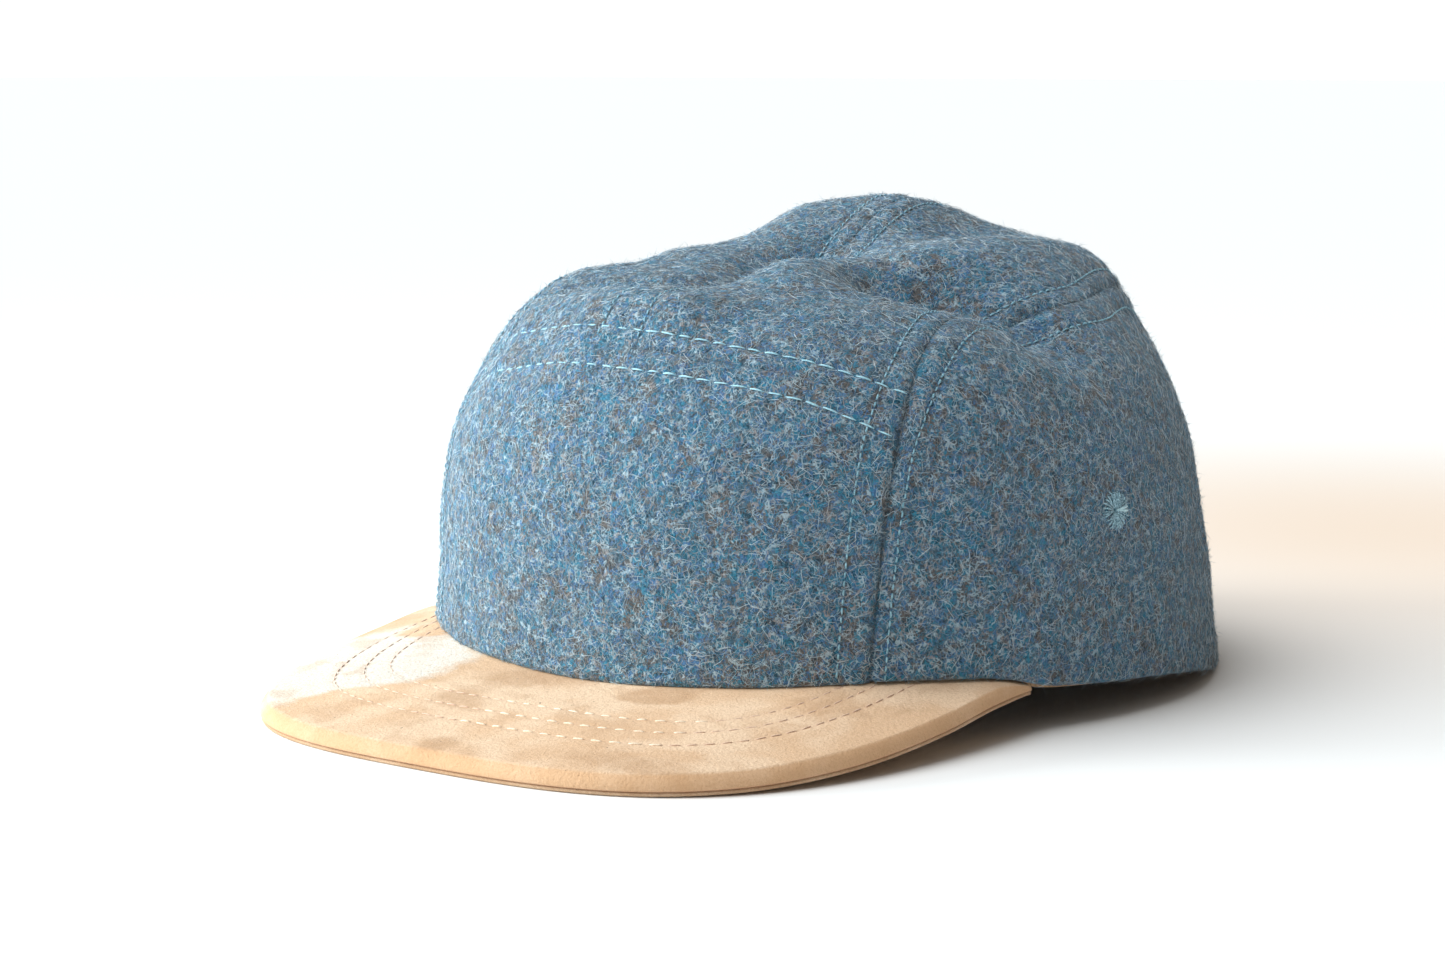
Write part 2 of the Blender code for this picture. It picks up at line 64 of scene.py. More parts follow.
# camera, placed as the photo was taken: focal length in pixels of a frame 1445 pixels wide
shot = {
    "azimuth": 37.2,
    "elevation": 7.8,
    "distance": 0.746,
    "target": (-0.0199, 0.0086, 0.0441),
    "focal": 3080.0,
    "frameWidth": 1445,
    "sensor": 36.0,
}


def aimAt(item, target):
    way = Vector(target) - item.location
    item.rotation_euler = way.to_track_quat("-Z", "Y").to_euler()


def wayFrom(azimuth, elevation):
    a = math.radians(azimuth)
    e = math.radians(elevation)
    return Vector((math.sin(a) * math.cos(e), -math.cos(a) * math.cos(e), math.sin(e)))


def makeCamera():
    lens = bpy.data.cameras.new("camera")
    lens.sensor_width = shot["sensor"]
    lens.sensor_fit = "HORIZONTAL"
    lens.lens = shot["focal"] * shot["sensor"] / shot["frameWidth"]
    lens.clip_start = 0.01
    camera = bpy.data.objects.new("camera", lens)
    bpy.context.scene.collection.objects.link(camera)
    target = Vector(shot["target"])
    camera.location = target + wayFrom(shot["azimuth"], shot["elevation"]) * shot["distance"]
    aimAt(camera, target)
    bpy.context.scene.camera = camera


# lights: azimuth and elevation are where each one stands, seen from the cap. The sun's strength is in W/m2
# and its size in degrees, the window's are in W and m
lights = (
    {"name": "daylight", "kind": "SUN", "azimuth": -40, "elevation": 58, "distance": 2.0, "strength": 2.4,
     "size": 60, "color": (0.97, 0.99, 1.0)},
    {"name": "window", "kind": "AREA", "azimuth": -56, "elevation": 13, "distance": 0.80, "strength": 7.2,
     "size": 0.40, "color": (0.90, 0.985, 1.0)},
)
stage = {
    "lightsAim": (0.0, 0.0, 0.04),
    "floorSize": 40.0,
    "floorColor": (0.94, 0.94, 0.935),
    # a warm, dimmer patch painted on the floor behind the cap, as painted shade: its color, where its middle
    # is, and how far it fades out, in m
    "paintedFloorShadeColor": (0.83, 0.69, 0.575),
    "paintedFloorShadeAt": (0.02, 0.30, 0.0),
    "paintedFloorShadeFade": (0.0, 0.34),
    # the sky is bright and cool on one side, dim and warm on the other, with a pale band along the horizon
    "brightWay": (-70, 20),
    "turnsBright": (-0.25, 0.95),
    "sky": ((0.19, 0.155, 0.125), (0.74, 0.84, 0.89)),
    "horizonTurns": (-0.60, 0.05),
    "horizon": ((0.40, 0.34, 0.28), (1.06, 1.10, 1.10)),
    "horizonFade": (0.10, 0.02),
}


# node helpers
def newMaterial(name):
    made = bpy.data.materials.new(name)
    made.use_nodes = True
    return made, made.node_tree, made.node_tree.nodes["Principled BSDF"]


def setSockets(node, values):
    for label, value in values.items():
        node.inputs[label].default_value = value


def addNode(tree, kind, values=None, **settings):
    node = tree.nodes.new(kind)
    for label, value in settings.items():
        setattr(node, label, value)
    setSockets(node, values or {})
    return node


def spread(tree, value, low, high, toLow=0.0, toHigh=1.0):
    node = addNode(tree, "ShaderNodeMapRange", {"From Min": low, "From Max": high, "To Min": toLow,
                                                "To Max": toHigh}, interpolation_type="SMOOTHSTEP")
    tree.links.new(value, node.inputs["Value"])
    return node.outputs["Result"]


def mixColor(tree, factor, first, second, blend="MIX"):
    node = addNode(tree, "ShaderNodeMix", data_type="RGBA", blend_type=blend)
    node.clamp_factor = True
    if isinstance(factor, (int, float)):
        node.inputs[0].default_value = factor
    else:
        tree.links.new(factor, node.inputs[0])
    for socket, value in ((node.inputs[6], first), (node.inputs[7], second)):
        if isinstance(value, tuple):
            socket.default_value = (*value, 1)
        else:
            tree.links.new(value, socket)
    return node.outputs[2]


def makeSky():
    world = bpy.data.worlds.new("sky")
    world.use_nodes = True
    tree = world.node_tree
    way = addNode(tree, "ShaderNodeTexCoord").outputs["Generated"]
    facing = addNode(tree, "ShaderNodeVectorMath", operation="DOT_PRODUCT")
    tree.links.new(way, facing.inputs[0])
    facing.inputs[1].default_value = wayFrom(*stage["brightWay"])
    apart = addNode(tree, "ShaderNodeSeparateXYZ")
    tree.links.new(way, apart.inputs[0])
    bright = spread(tree, facing.outputs["Value"], *stage["turnsBright"])
    low = spread(tree, apart.outputs["Z"], *stage["horizonFade"])
    lit = spread(tree, facing.outputs["Value"], *stage["horizonTurns"])
    color = mixColor(tree, low, mixColor(tree, bright, *stage["sky"]), mixColor(tree, lit, *stage["horizon"]))
    tree.links.new(color, tree.nodes["Background"].inputs["Color"])
    bpy.context.scene.world = world


def makeLights():
    for light in lights:
        lamp = bpy.data.lights.new(light["name"], light["kind"])
        if light["kind"] == "SUN":
            lamp.angle = math.radians(light["size"])
        else:
            lamp.shape = "DISK"
            lamp.size = light["size"]
        lamp.energy = light["strength"]
        lamp.color = light["color"]
        holder = bpy.data.objects.new(light["name"], lamp)
        bpy.context.scene.collection.objects.link(holder)
        holder.location = wayFrom(light["azimuth"], light["elevation"]) * light["distance"]
        aimAt(holder, stage["lightsAim"])


def makeFloor():
    half = stage["floorSize"] / 2
    corners = [(-half, -half, 0), (half, -half, 0), (half, half, 0), (-half, half, 0)]
    mesh = bpy.data.meshes.new("floor")
    mesh.from_pydata(corners, [], [(0, 1, 2, 3)])
    finish, tree, shader = newMaterial("floor")
    away = addNode(tree, "ShaderNodeVectorMath", operation="DISTANCE")
    tree.links.new(addNode(tree, "ShaderNodeTexCoord").outputs["Object"], away.inputs[0])
    away.inputs[1].default_value = stage["paintedFloorShadeAt"]
    # painted shade: the floor turns warmer and darker towards that middle
    paintedFloorShade = spread(tree, away.outputs["Value"], *stage["paintedFloorShadeFade"])
    color = mixColor(tree, paintedFloorShade, stage["paintedFloorShadeColor"], stage["floorColor"])
    tree.links.new(color, shader.inputs["Base Color"])
    setSockets(shader, {"Roughness": 0.9, "Specular IOR Level": 0.1})
    mesh.materials.append(finish)
    floor = bpy.data.objects.new("floor", mesh)
    bpy.context.scene.collection.objects.link(floor)


makeCamera()
makeLights()
makeFloor()
makeSky()
bpy.context.scene.view_settings.view_transform = "Standard"
print("camera and stage made")


# the crown's form: the same smooth surface and folds that the solids have
crownForm = {
    "halfWidth": 0.0906,
    "frontReach": 0.0956,
    "rearReach": 0.0983,
    "squareness": 2.15,
    "rimLift": 0.0125,
    "height": 0.0985,
    "wool": 0.0024,
    # height of a point well inside, from which the wool faces outwards
    "heart": 0.045,
    # turn from the front in degrees, squareness, lean inwards
    "sections": ((0, 4.3, 0.03), (60, 4.2, 0.03), (120, 4.4, 0.13), (180, 4.0, 0.11)),
    # turn from the front, height of the rim as a share of rimLift
    "rimLine": ((0, 0.90), (22, 1.00), (42, 1.12), (54, 1.09), (60, 1.01), (67, 0.81), (76, 0.71), (90, 0.58),
                (105, 0.35), (122, 0.05), (140, 0.0), (180, 0.0)),
    # place from front to back, height of the roof as a share of height
    "roofLine": ((-1.0, 0.975), (-0.7, 0.985), (-0.3, 0.99), (0.2, 1.02), (0.6, 1.0), (1.0, 0.95)),
    # where each fold starts and ends (across, along, up), its width, and its depth at both ends
    "folds": {
        "frontCrest": ((-0.34, -0.70, 0.93), (0.10, -0.74, 0.95), 0.10, 0.048, 0.050),
        "nearRidge": ((0.21, -0.41, 1.0), (0.56, 0.34, 1.0), 0.15, 0.050, 0.055),
        "farRidge": ((-0.56, -0.50, 0.95), (-0.42, -0.20, 1.0), 0.16, 0.035, 0.050),
        "rearPeak": ((-0.19, 0.20, 1.0), (-0.08, 0.28, 1.0), 0.18, 0.110, 0.120),
        "rearSaddle": ((0.08, 0.44, 1.0), (0.36, 0.50, 1.0), 0.15, 0.074, 0.068),
        "valleyFront": ((-0.42, -0.54, 0.93), (-0.02, -0.48, 0.95), 0.10, -0.070, -0.060),
        "valley": ((-0.06, -0.46, 0.95), (-0.02, -0.06, 1.0), 0.12, -0.060, -0.085),
        "peakNotch": ((-0.48, 0.02, 1.0), (-0.36, 0.16, 1.0), 0.11, -0.026, -0.030),
        "nearShoulder": ((0.46, -0.42, 0.9), (0.54, -0.22, 0.9), 0.16, -0.015, -0.045),
        "farShoulder": ((-0.60, -0.62, 0.85), (-0.40, -0.70, 0.9), 0.22, -0.064, -0.030),
        "farBrow": ((-0.35, -0.80, 0.86), (-0.15, -0.84, 0.86), 0.14, 0.020, 0.020),
        "farWall": ((-0.80, -0.60, 0.32), (-0.80, -0.60, 0.50), 0.20, -0.024, -0.018),
        "nearGully": ((0.67, -0.14, 0.82), (0.36, -0.27, 0.93), 0.11, -0.210, -0.120),
        "sideHollow": ((0.76, -0.10, 0.74), (0.84, 0.02, 0.60), 0.14, -0.018, -0.008),
        "nearBulge": ((0.96, 0.14, 0.30), (0.94, 0.14, 0.50), 0.24, 0.022, 0.022),
        "farBulge": ((-0.96, 0.14, 0.30), (-0.94, 0.14, 0.50), 0.24, 0.022, 0.022),
        "farGully": ((-0.62, -0.05, 0.80), (-0.40, -0.28, 0.95), 0.13, -0.120, -0.040),
    },
}
headShift = np.array([0.0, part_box("top_panel_left")[1].y - crownForm["rearReach"], 0.0])


def between(place, amount, slope, value):
    row = np.clip(np.searchsorted(place, value, side="right") - 1, 0, len(place) - 2)
    width = place[row + 1] - place[row]
    share = (value - place[row]) / width
    rise = share * share * (3 - 2 * share)
    easeIn = share * (1 - share) ** 2 * width * slope[row]
    easeOut = -share * share * (1 - share) * width * slope[row + 1]
    return amount[row] * (1 - rise) + amount[row + 1] * rise + easeIn + easeOut


def smooth(rows, value, column=1):
    # a smooth curve through rows whose first number is the place and whose others are amounts
    place = np.array([row[0] for row in rows], float)
    amount = np.array([row[column] for row in rows], float)
    steps = np.diff(amount) / np.diff(place)
    sameWay = steps[:-1] * steps[1:] > 0
    total = np.where(sameWay, steps[:-1] + steps[1:], 1.0)
    slope = np.concatenate([[0.0], np.where(sameWay, 2 * steps[:-1] * steps[1:] / total, 0.0), [0.0]])
    return between(place, amount, slope, np.clip(value, place[0], place[-1]))


def unit(vectors):
    return vectors / np.maximum(np.linalg.norm(vectors, axis=-1, keepdims=True), 1e-12)


def rimReach(turn):
    form = crownForm
    reach = np.where(np.cos(turn) > 0, form["frontReach"], form["rearReach"])
    total = (np.abs(np.sin(turn)) / form["halfWidth"]) ** form["squareness"]
    total = total + (np.abs(np.cos(turn)) / reach) ** form["squareness"]
    return total ** (-1 / form["squareness"])


def rimHeight(turn):
    return crownForm["rimLift"] * smooth(crownForm["rimLine"], np.degrees(np.abs(turn)))


def crownBase(spot):
    form = crownForm
    u, v = spot[..., 0], spot[..., 1]
    turn = np.arctan2(u, -v)
    climb = (1 - np.hypot(u, v)) * math.pi / 2
    degrees = np.degrees(np.abs(turn))
    squareness = smooth(form["sections"], degrees)
    lean = smooth(form["sections"], degrees, 2)
    out = np.cos(climb)
    up = np.sin(climb)
    size = (np.abs(out) ** squareness + np.abs(up) ** squareness) ** (-1 / squareness)
    out = out * size
    up = up * size
    reach = rimReach(turn) * out * (1 - lean * up)
    x = reach * np.sin(turn)
    y = -reach * np.cos(turn)
    along = np.where(y < 0, y / form["frontReach"], y / form["rearReach"])
    roof = form["height"] * smooth(form["roofLine"], along)
    foot = rimHeight(turn)
    return np.stack([x, y, foot + (roof - foot) * up], -1)


def crown(spot):
    form = crownForm
    points = crownBase(spot)
    shift = np.zeros(points.shape[:-1])
    size = np.array([form["halfWidth"], 0.0, form["height"]])
    for start, end, width, depth0, depth1 in form["folds"].values():
        ends = []
        for across, along, up in (start, end):
            size[1] = form["frontReach"] if along < 0 else form["rearReach"]
            ends.append(np.array([across, along, up]) * size)
        run = ends[1] - ends[0]
        share = np.clip((points - ends[0]) @ run / (run @ run), 0, 1)
        away = np.linalg.norm(points - ends[0] - share[..., None] * run, axis=-1)
        depth = depth0 + (depth1 - depth0) * share
        shift += depth * form["height"] * np.exp(-(away / (width * form["height"])) ** 2)
    x, y, z = points[..., 0], points[..., 1], points[..., 2]
    reach = np.where(y < 0, form["frontReach"], form["rearReach"])
    rise = np.maximum(z, 0) / form["height"] ** 2
    outward = np.stack([x / form["halfWidth"] ** 2, y / reach ** 2, rise], -1)
    return points + shift[..., None] * unit(outward) + headShift


def crownNormal(spot, step=0.002):
    across = crown(spot + [step, 0]) - crown(spot - [step, 0])
    along = crown(spot + [0, step]) - crown(spot - [0, step])
    return unit(np.cross(across, along))


def discSpot(turn, rise):
    return np.stack([(1 - rise) * np.sin(turn), -(1 - rise) * np.cos(turn)], -1)


# seams, drawn on the crown: turn from the front in degrees and rise from the rim to the crown's middle
seamForm = {
    "sideSeam": ((40.8, 0.0), (42.8, 0.25), (46.0, 0.40), (52.0, 0.51), (63.0, 0.575), (79.0, 0.57),
                 (98.0, 0.54), (119.0, 0.535), (134.0, 0.49), (144.0, 0.28), (149.0, 0.0)),
    "meetsFront": 2,
    "turnsDown": 8,
    "frontSeamRise": 0.488,
    "curveSteps": 40,
    # step along a topstitched row, in millimetres
    "rowStep": 0.6,
}


def finely(curve, steps=60):
    fine = np.linspace(0, len(curve) - 1, steps * len(curve))
    return np.stack([np.interp(fine, np.arange(len(curve)), curve[:, axis]) for axis in range(2)], -1)


def seamCurves():
    rows = np.array(seamForm["sideSeam"])
    knots = discSpot(np.radians(rows[:, 0]), rows[:, 1])
    place = np.arange(len(knots), dtype=float)
    steps = seamForm["curveSteps"]
    fine = np.arange((len(knots) - 1) * steps + 1) / steps
    whole = np.stack([between(place, knots[:, k], np.gradient(knots[:, k]), fine) for k in range(2)], -1)
    meets = seamForm["meetsFront"] * steps
    turns = seamForm["turnsDown"] * steps
    corner = whole[meets]
    middle = discSpot(0.0, seamForm["frontSeamRise"])
    u = np.linspace(0, corner[0], 4 * steps)
    bow = (corner[1] - middle[1]) * (u / corner[0]) ** 2
    frontFoot, rearFoot = math.radians(rows[0, 0]), math.radians(rows[-1, 0])
    return {
        "frontLeg": whole[:meets + 1],
        "overTop": whole[meets:turns + 1],
        "rearLeg": whole[turns:],
        "side": whole,
        "frontSeam": np.stack([u, middle[1] + bow], -1),
        "middleSeam": finely(np.array([middle, discSpot(math.pi, 0.0)]), 6 * steps),
        "rimFront": discSpot(np.linspace(-frontFoot, frontFoot, 6 * steps), 0.0),
        "rimSide": discSpot(np.linspace(frontFoot, rearFoot, 6 * steps), 0.0),
        "rimRear": discSpot(np.linspace(math.pi, rearFoot, 6 * steps), 0.0),
    }


def lengthOf(curve):
    return np.linalg.norm(np.diff(crown(curve), axis=0), axis=-1).sum()


def atStops(curve, stops):
    # the curve read at shares of its length on the crown
    dense = finely(curve, max(2, 2000 // len(curve)))
    walked = np.concatenate([[0.0], np.cumsum(np.linalg.norm(np.diff(crown(dense), axis=0), axis=-1))])
    return np.stack([np.interp(stops * walked[-1], walked, dense[:, axis]) for axis in range(2)], -1)


# how closely the wool's mesh is divided: distance from a seam or rim, and the step there, in millimetres
meshStep = ((0.0, 0.45), (1.5, 0.58), (3.0, 0.95), (8.0, 1.10), (14.0, 1.80), (400.0, 1.80))


def gradedStops(length):
    # shares of a length, close together at both ends and wider in the middle
    places = [0.0]
    while places[-1] < length / mm / 2:
        places.append(places[-1] + float(np.interp(places[-1], *zip(*meshStep))))
    half = np.array(places) / places[-1] / 2
    return np.concatenate([half, 1 - half[-2::-1]])


def patch(bottom, top, left, right):
    # a grid of spots between four curves that meet at their ends
    s = gradedStops(max(lengthOf(bottom), lengthOf(top)))
    t = gradedStops(max(lengthOf(left), lengthOf(right)))
    bottom, top = atStops(bottom, s), atStops(top, s)
    left, right = atStops(left, t), atStops(right, t)
    s, t = s[None, :, None], t[:, None, None]
    rows = bottom[None] * (1 - t) + top[None] * t
    columns = left[:, None] * (1 - s) + right[:, None] * s
    corners = (bottom[0] * (1 - s) + bottom[-1] * s) * (1 - t) + (top[0] * (1 - s) + top[-1] * s) * t
    return rows + columns - corners


mirror = np.array([-1.0, 1.0])
seams = seamCurves()
frontTop = np.concatenate([(seams["frontSeam"] * mirror)[::-1], seams["frontSeam"][1:]])
frontPatch = patch(seams["rimFront"], frontTop, seams["frontLeg"] * mirror, seams["frontLeg"])
topOuter = np.concatenate([seams["overTop"], seams["rearLeg"][1:]])
topPatch = patch(seams["frontSeam"], seams["rimRear"], seams["middleSeam"], topOuter)
sidePatch = patch(seams["rimSide"], seams["overTop"], seams["frontLeg"], seams["rearLeg"][::-1])
panels = {
    "frontPanel": {"node": "front_panel", "rim": 0, "turned": False, "spots": frontPatch},
    "topPanelLeft": {"node": "top_panel_left", "rim": -1, "turned": False, "spots": topPatch},
    "topPanelRight": {"node": "top_panel_right", "rim": -1, "turned": True, "spots": topPatch * mirror},
    "sidePanelLeft": {"node": "side_panel_left", "rim": 0, "turned": False, "spots": sidePatch},
    "sidePanelRight": {"node": "side_panel_right", "rim": 0, "turned": True, "spots": sidePatch * mirror},
}
for name, panel in panels.items():
    panel["base"] = crown(panel["spots"])
    panel["normal"] = crownNormal(panel["spots"])
print("crown panels laid out:", {name: panel["spots"].shape[:2] for name, panel in panels.items()})


def gridFaces(rows, columns, flip=False):
    at = np.arange(rows * columns).reshape(rows, columns)
    quads = np.stack([at[:-1, :-1], at[:-1, 1:], at[1:, 1:], at[1:, :-1]], -1).reshape(-1, 4)
    return quads[:, ::-1] if flip else quads


def joinGrids(grids, flips):
    # the points of all the grids in one list, and their faces in another
    points, faces, start = [], [], 0
    for grid, flip in zip(grids, flips):
        points.append(grid.reshape(-1, 3))
        faces.append(gridFaces(*grid.shape[:2], flip) + start)
        start += grid.shape[0] * grid.shape[1]
    return np.concatenate(points), np.concatenate(faces)


def skinTree(grids):
    points, faces = joinGrids(grids, [False] * len(grids))
    return BVHTree.FromPolygons(points.tolist(), faces.tolist())


def pointTree(points):
    tree = KDTree(len(points))
    for index, point in enumerate(points):
        tree.insert(point, index)
    tree.balance()
    return tree


def awayFrom(tree, points):
    flat = points.reshape(-1, 3)
    return np.array([tree.find(point)[2] for point in flat.tolist()]).reshape(points.shape[:-1])


# topstitched rows: which seam each follows, from and to as shares of its length, and how far off it runs in
# millimetres at a few of those shares. Plus is to the right of the seam as it is walked
rowForm = {
    "upperFront": {"seam": "frontSeam", "thread": "contrast", "away": ((0.0, -4.6), (0.6, -4.6), (1.0, -3.8)),
                   "from": 0.0, "to": 0.962},
    "lowerFront": {"seam": "frontSeam", "thread": "contrast", "away": ((0.0, 5.0), (0.65, 5.0), (1.0, 6.4)),
                   "from": 0.0, "to": 0.962},
    "sideInner": {"seam": "side", "thread": "tonal",
                  "away": ((0.0, -7.4), (0.17, -7.6), (0.22, -6.6), (0.27, -5.3), (0.45, -5.0), (0.8, -5.2),
                           (1.0, -5.5)), "from": 0.004, "to": 0.996},
    "sideOuter": {"seam": "side", "thread": "tonal",
                  "away": ((0.0, 3.0), (0.17, 3.2), (0.22, 4.6), (0.28, 6.2), (0.36, 6.6), (0.45, 7.0),
                           (0.6, 6.0), (1.0, 5.5)), "from": 0.004, "to": 0.996},
    "middleLeft": {"seam": "middleSeam", "thread": "tonal", "away": ((0.0, -5.2), (1.0, -5.2)),
                   "from": 0.012, "to": 0.995},
    "middleRight": {"seam": "middleSeam", "thread": "tonal", "away": ((0.0, 5.2), (1.0, 5.2)),
                    "from": 0.012, "to": 0.995},
}
baseTree = skinTree([panel["base"] for panel in panels.values()])


def alongRow(row):
    # the seam walked in even steps, pushed sideways and dropped back on the wool
    curve = seams[row["seam"]]
    shares = np.linspace(row["from"], row["to"], int(lengthOf(curve) / mm / seamForm["rowStep"]))
    spots = atStops(curve, shares)
    middle = crown(spots)
    sideways = unit(np.cross(np.gradient(middle, axis=0), crownNormal(spots)))
    pushed = middle + sideways * (smooth(row["away"], shares) * mm)[:, None]
    return np.array([baseTree.find_nearest(point)[0] for point in pushed.tolist()])


def triangles(piece):
    return sum(len(face.vertices) - 2 for face in piece.data.polygons)


def bothSides(points):
    return [points, points * [-1, 1, 1]]


# how strongly each seam draws the wool in, at shares of its length
seamPull = {
    "side": ((0.0, 1.0), (0.19, 1.0), (0.25, 0.75), (0.34, 0.42), (0.60, 0.42), (0.80, 0.6), (1.0, 0.8)),
    "frontSeam": ((0.0, 0.22), (0.7, 0.22), (1.0, 0.45)),
    "middleSeam": ((0.0, 0.12), (0.5, 0.16), (0.8, 0.3), (1.0, 0.6)),
}
seamPoints, seamPulls = [], []
for name, rows in seamPull.items():
    shares = np.linspace(0, 1, 1200)
    points = crown(atStops(seams[name], shares))
    sides = [points] if name == "middleSeam" else bothSides(points)
    seamPoints += sides
    seamPulls += [smooth(rows, shares)] * len(sides)
seamTree = pointTree(np.concatenate(seamPoints).tolist())
seamPulls = np.concatenate(seamPulls)
rowPaths = {}
for name, row in rowForm.items():
    path = alongRow(row)
    rowPaths[name] = [path] if row["seam"] == "middleSeam" else bothSides(path)
rowTree = pointTree(np.concatenate([path for paths in rowPaths.values() for path in paths]).tolist())
rimPoints = crown(discSpot(np.linspace(-math.pi, math.pi, 2400), 0.0))
rimTree = pointTree(rimPoints.tolist())
print("seams and rows drawn:", {name: len(paths[0]) for name, paths in rowPaths.items()})

# eyelets: sizes in millimetres
eyeletForm = {
    "turn": 81.05,
    "rise": 0.255,
    "hole": 1.3,
    "threads": 31,
    "thick": 0.29,
    # from the hole outwards: distance from the middle, height over the wool, share of the thread's thickness
    "thread": ((0.45, -1.3, 0.40), (0.60, -0.30, 0.45), (1.10, 0.16, 0.62), (2.3, 0.34, 0.95),
               (3.5, 0.50, 1.15), (4.2, 0.42, 1.2), (4.62, -0.20, 0.7)),
    "knot": ((0.40, 0.10, 0.7), (1.0, 0.45, 1.2), (2.0, 0.78, 1.7), (3.0, 0.85, 1.9), (3.7, 0.60, 1.6),
             (4.1, 0.0, 0.8)),
    "knotThreads": 2,
    "knotFan": 15.0,
}


eyeletSpot = discSpot(math.radians(eyeletForm["turn"]), eyeletForm["rise"])
eyeletPoints = [crown(eyeletSpot * [way, 1]) for way in (1, -1)]

# relief of the wool, in millimetres
woolRelief = {
    "seamDepth": 0.90, "seamWidth": 0.85,
    "wander": 0.45, "wanderSize": 6.0, "wanderSeed": 5,
    "puff": 0.45, "puffAway": 2.7, "puffWidth": 1.5,
    "rowDepth": 0.38, "rowWidth": 0.75,
    "rimRound": 0.8, "settle": 0.35,
    "wave": 0.55, "waveSize": 19.0,
    "lump": 0.22, "lumpSize": 5.5,
    "pucker": 0.20, "puckerSize": 4.5, "puckerReach": 7.0, "puckerShift": (31, 7, 3),
    # how far the painted shade of a seam and of a row reaches, and the bare ring round an eyelet
    "seamShade": 0.62, "rowShade": 0.5, "bareEyelet": 4.3,
}
# the vector noise starts from the clock unless it is given a seed
noise.seed_set(woolRelief["wanderSeed"])


def woolShape(points, normals):
    form = woolRelief
    flat = (points / mm).reshape(-1, 3).tolist()
    wander = [noise.noise_vector(Vector(place) / form["wanderSize"]) for place in flat]
    moved = (points + np.array(wander).reshape(points.shape) * form["wander"] * mm).reshape(-1, 3)
    found = [seamTree.find(point)[1:] for point in moved.tolist()]
    seam = np.array([away for index, away in found]).reshape(points.shape[:-1]) / mm
    pull = seamPulls[[index for index, away in found]].reshape(points.shape[:-1])
    row = awayFrom(rowTree, points) / mm
    rim = awayFrom(rimTree, points) / mm
    push = -form["seamDepth"] * pull * np.exp(-(seam / form["seamWidth"]) ** 1.4)
    push += form["puff"] * (0.4 + 0.6 * pull) * np.exp(-((seam - form["puffAway"]) / form["puffWidth"]) ** 2)
    push -= form["rowDepth"] * np.exp(-(row / form["rowWidth"]) ** 2)
    inside = np.clip(form["rimRound"] - rim, 0, form["rimRound"])
    push -= form["rimRound"] - np.sqrt(form["rimRound"] ** 2 - inside ** 2)
    uneven = [noise.noise(Vector(place) / form["waveSize"]) * form["wave"]
              + noise.noise(Vector(place) / form["lumpSize"]) * form["lump"] for place in flat]
    shift = Vector(form["puckerShift"])
    pucker = [noise.noise(Vector(place) / form["puckerSize"] + shift) for place in flat]
    near = np.exp(-(seam / form["puckerReach"]) ** 2)
    push += np.array(uneven).reshape(push.shape) * (1 - 0.6 * np.exp(-(rim / 3) ** 2))
    push += np.array(pucker).reshape(push.shape) * form["pucker"] * near
    # painted shade: the wool darkened in the seam grooves and the rows' dimples, kept as the shade attribute
    dark = 0.8 * pull * np.exp(-(seam / form["seamShade"]) ** 1.6)
    shade = np.clip(dark + 0.22 * np.exp(-(row / form["rowShade"]) ** 2), 0, 1)
    # the share of loose fibres that each place keeps
    keep = 1 - 0.8 * pull * np.clip(1.2 - seam / 0.9, 0, 1)
    keep *= 0.30 + 0.70 * np.clip((row - 0.3) / 0.8, 0, 1)
    for place in eyeletPoints:
        away = np.linalg.norm(points - place, axis=-1) / mm
        keep *= np.clip((away - form["bareEyelet"]) / 0.8, 0, 1)
    return points + normals * push[..., None] * mm, shade, keep


def meshOf(name, points, faces):
    mesh = bpy.data.meshes.new(name)
    mesh.from_pydata(np.asarray(points, float).tolist(), [], np.asarray(faces).tolist())
    return mesh


def addFloat(mesh, name, values):
    layer = mesh.attributes.new(name, "FLOAT", "POINT")
    layer.data.foreach_set("value", np.asarray(values, np.float32).ravel())


def addPiece(name, mesh, finish):
    mesh.materials.clear()
    mesh.materials.append(finish)
    mesh.shade_smooth()
    piece = bpy.data.objects.new(name, mesh)
    bpy.context.scene.collection.objects.link(piece)
    return piece


def faceOutwards(mesh):
    shape = bmesh.new()
    shape.from_mesh(mesh)
    bmesh.ops.recalc_face_normals(shape, faces=shape.faces)
    shape.to_mesh(mesh)
    shape.free()


def wall(name, outer, inner, layers):
    # a closed mesh between two grids. layers gives each outer point's values
    rows, columns = outer.shape[:2]
    count = rows * columns
    faces = [gridFaces(rows, columns), gridFaces(rows, columns, True) + count]
    at = np.arange(count).reshape(rows, columns)
    loop = np.concatenate([at[0], at[1:, -1], at[-1, -2::-1], at[-2:0:-1, 0]])
    onward = np.roll(loop, -1)
    faces.append(np.stack([loop, loop + count, onward + count, onward], -1))
    points = np.concatenate([outer.reshape(-1, 3), inner.reshape(-1, 3)])
    mesh = meshOf(name, points, np.concatenate(faces))
    for label, values in layers.items():
        addFloat(mesh, label, np.concatenate([values.ravel(), values.ravel()]))
    faceOutwards(mesh)
    return mesh


# textures and finishes
def placed(tree, size, shift):
    # object coordinates, with one unit for a size in millimetres
    coordinates = addNode(tree, "ShaderNodeTexCoord")
    mapping = addNode(tree, "ShaderNodeMapping", {"Scale": (1 / size / mm,) * 3, "Location": shift})
    tree.links.new(coordinates.outputs["Object"], mapping.inputs["Vector"])
    return mapping.outputs["Vector"]


def noiseAt(tree, size, detail=2.0, rough=0.5, distort=0.0, shift=(0, 0, 0)):
    node = addNode(tree, "ShaderNodeTexNoise", {"Scale": 1.0, "Detail": detail, "Roughness": rough,
                                                "Distortion": distort})
    tree.links.new(placed(tree, size, shift), node.inputs["Vector"])
    return node.outputs["Fac"]


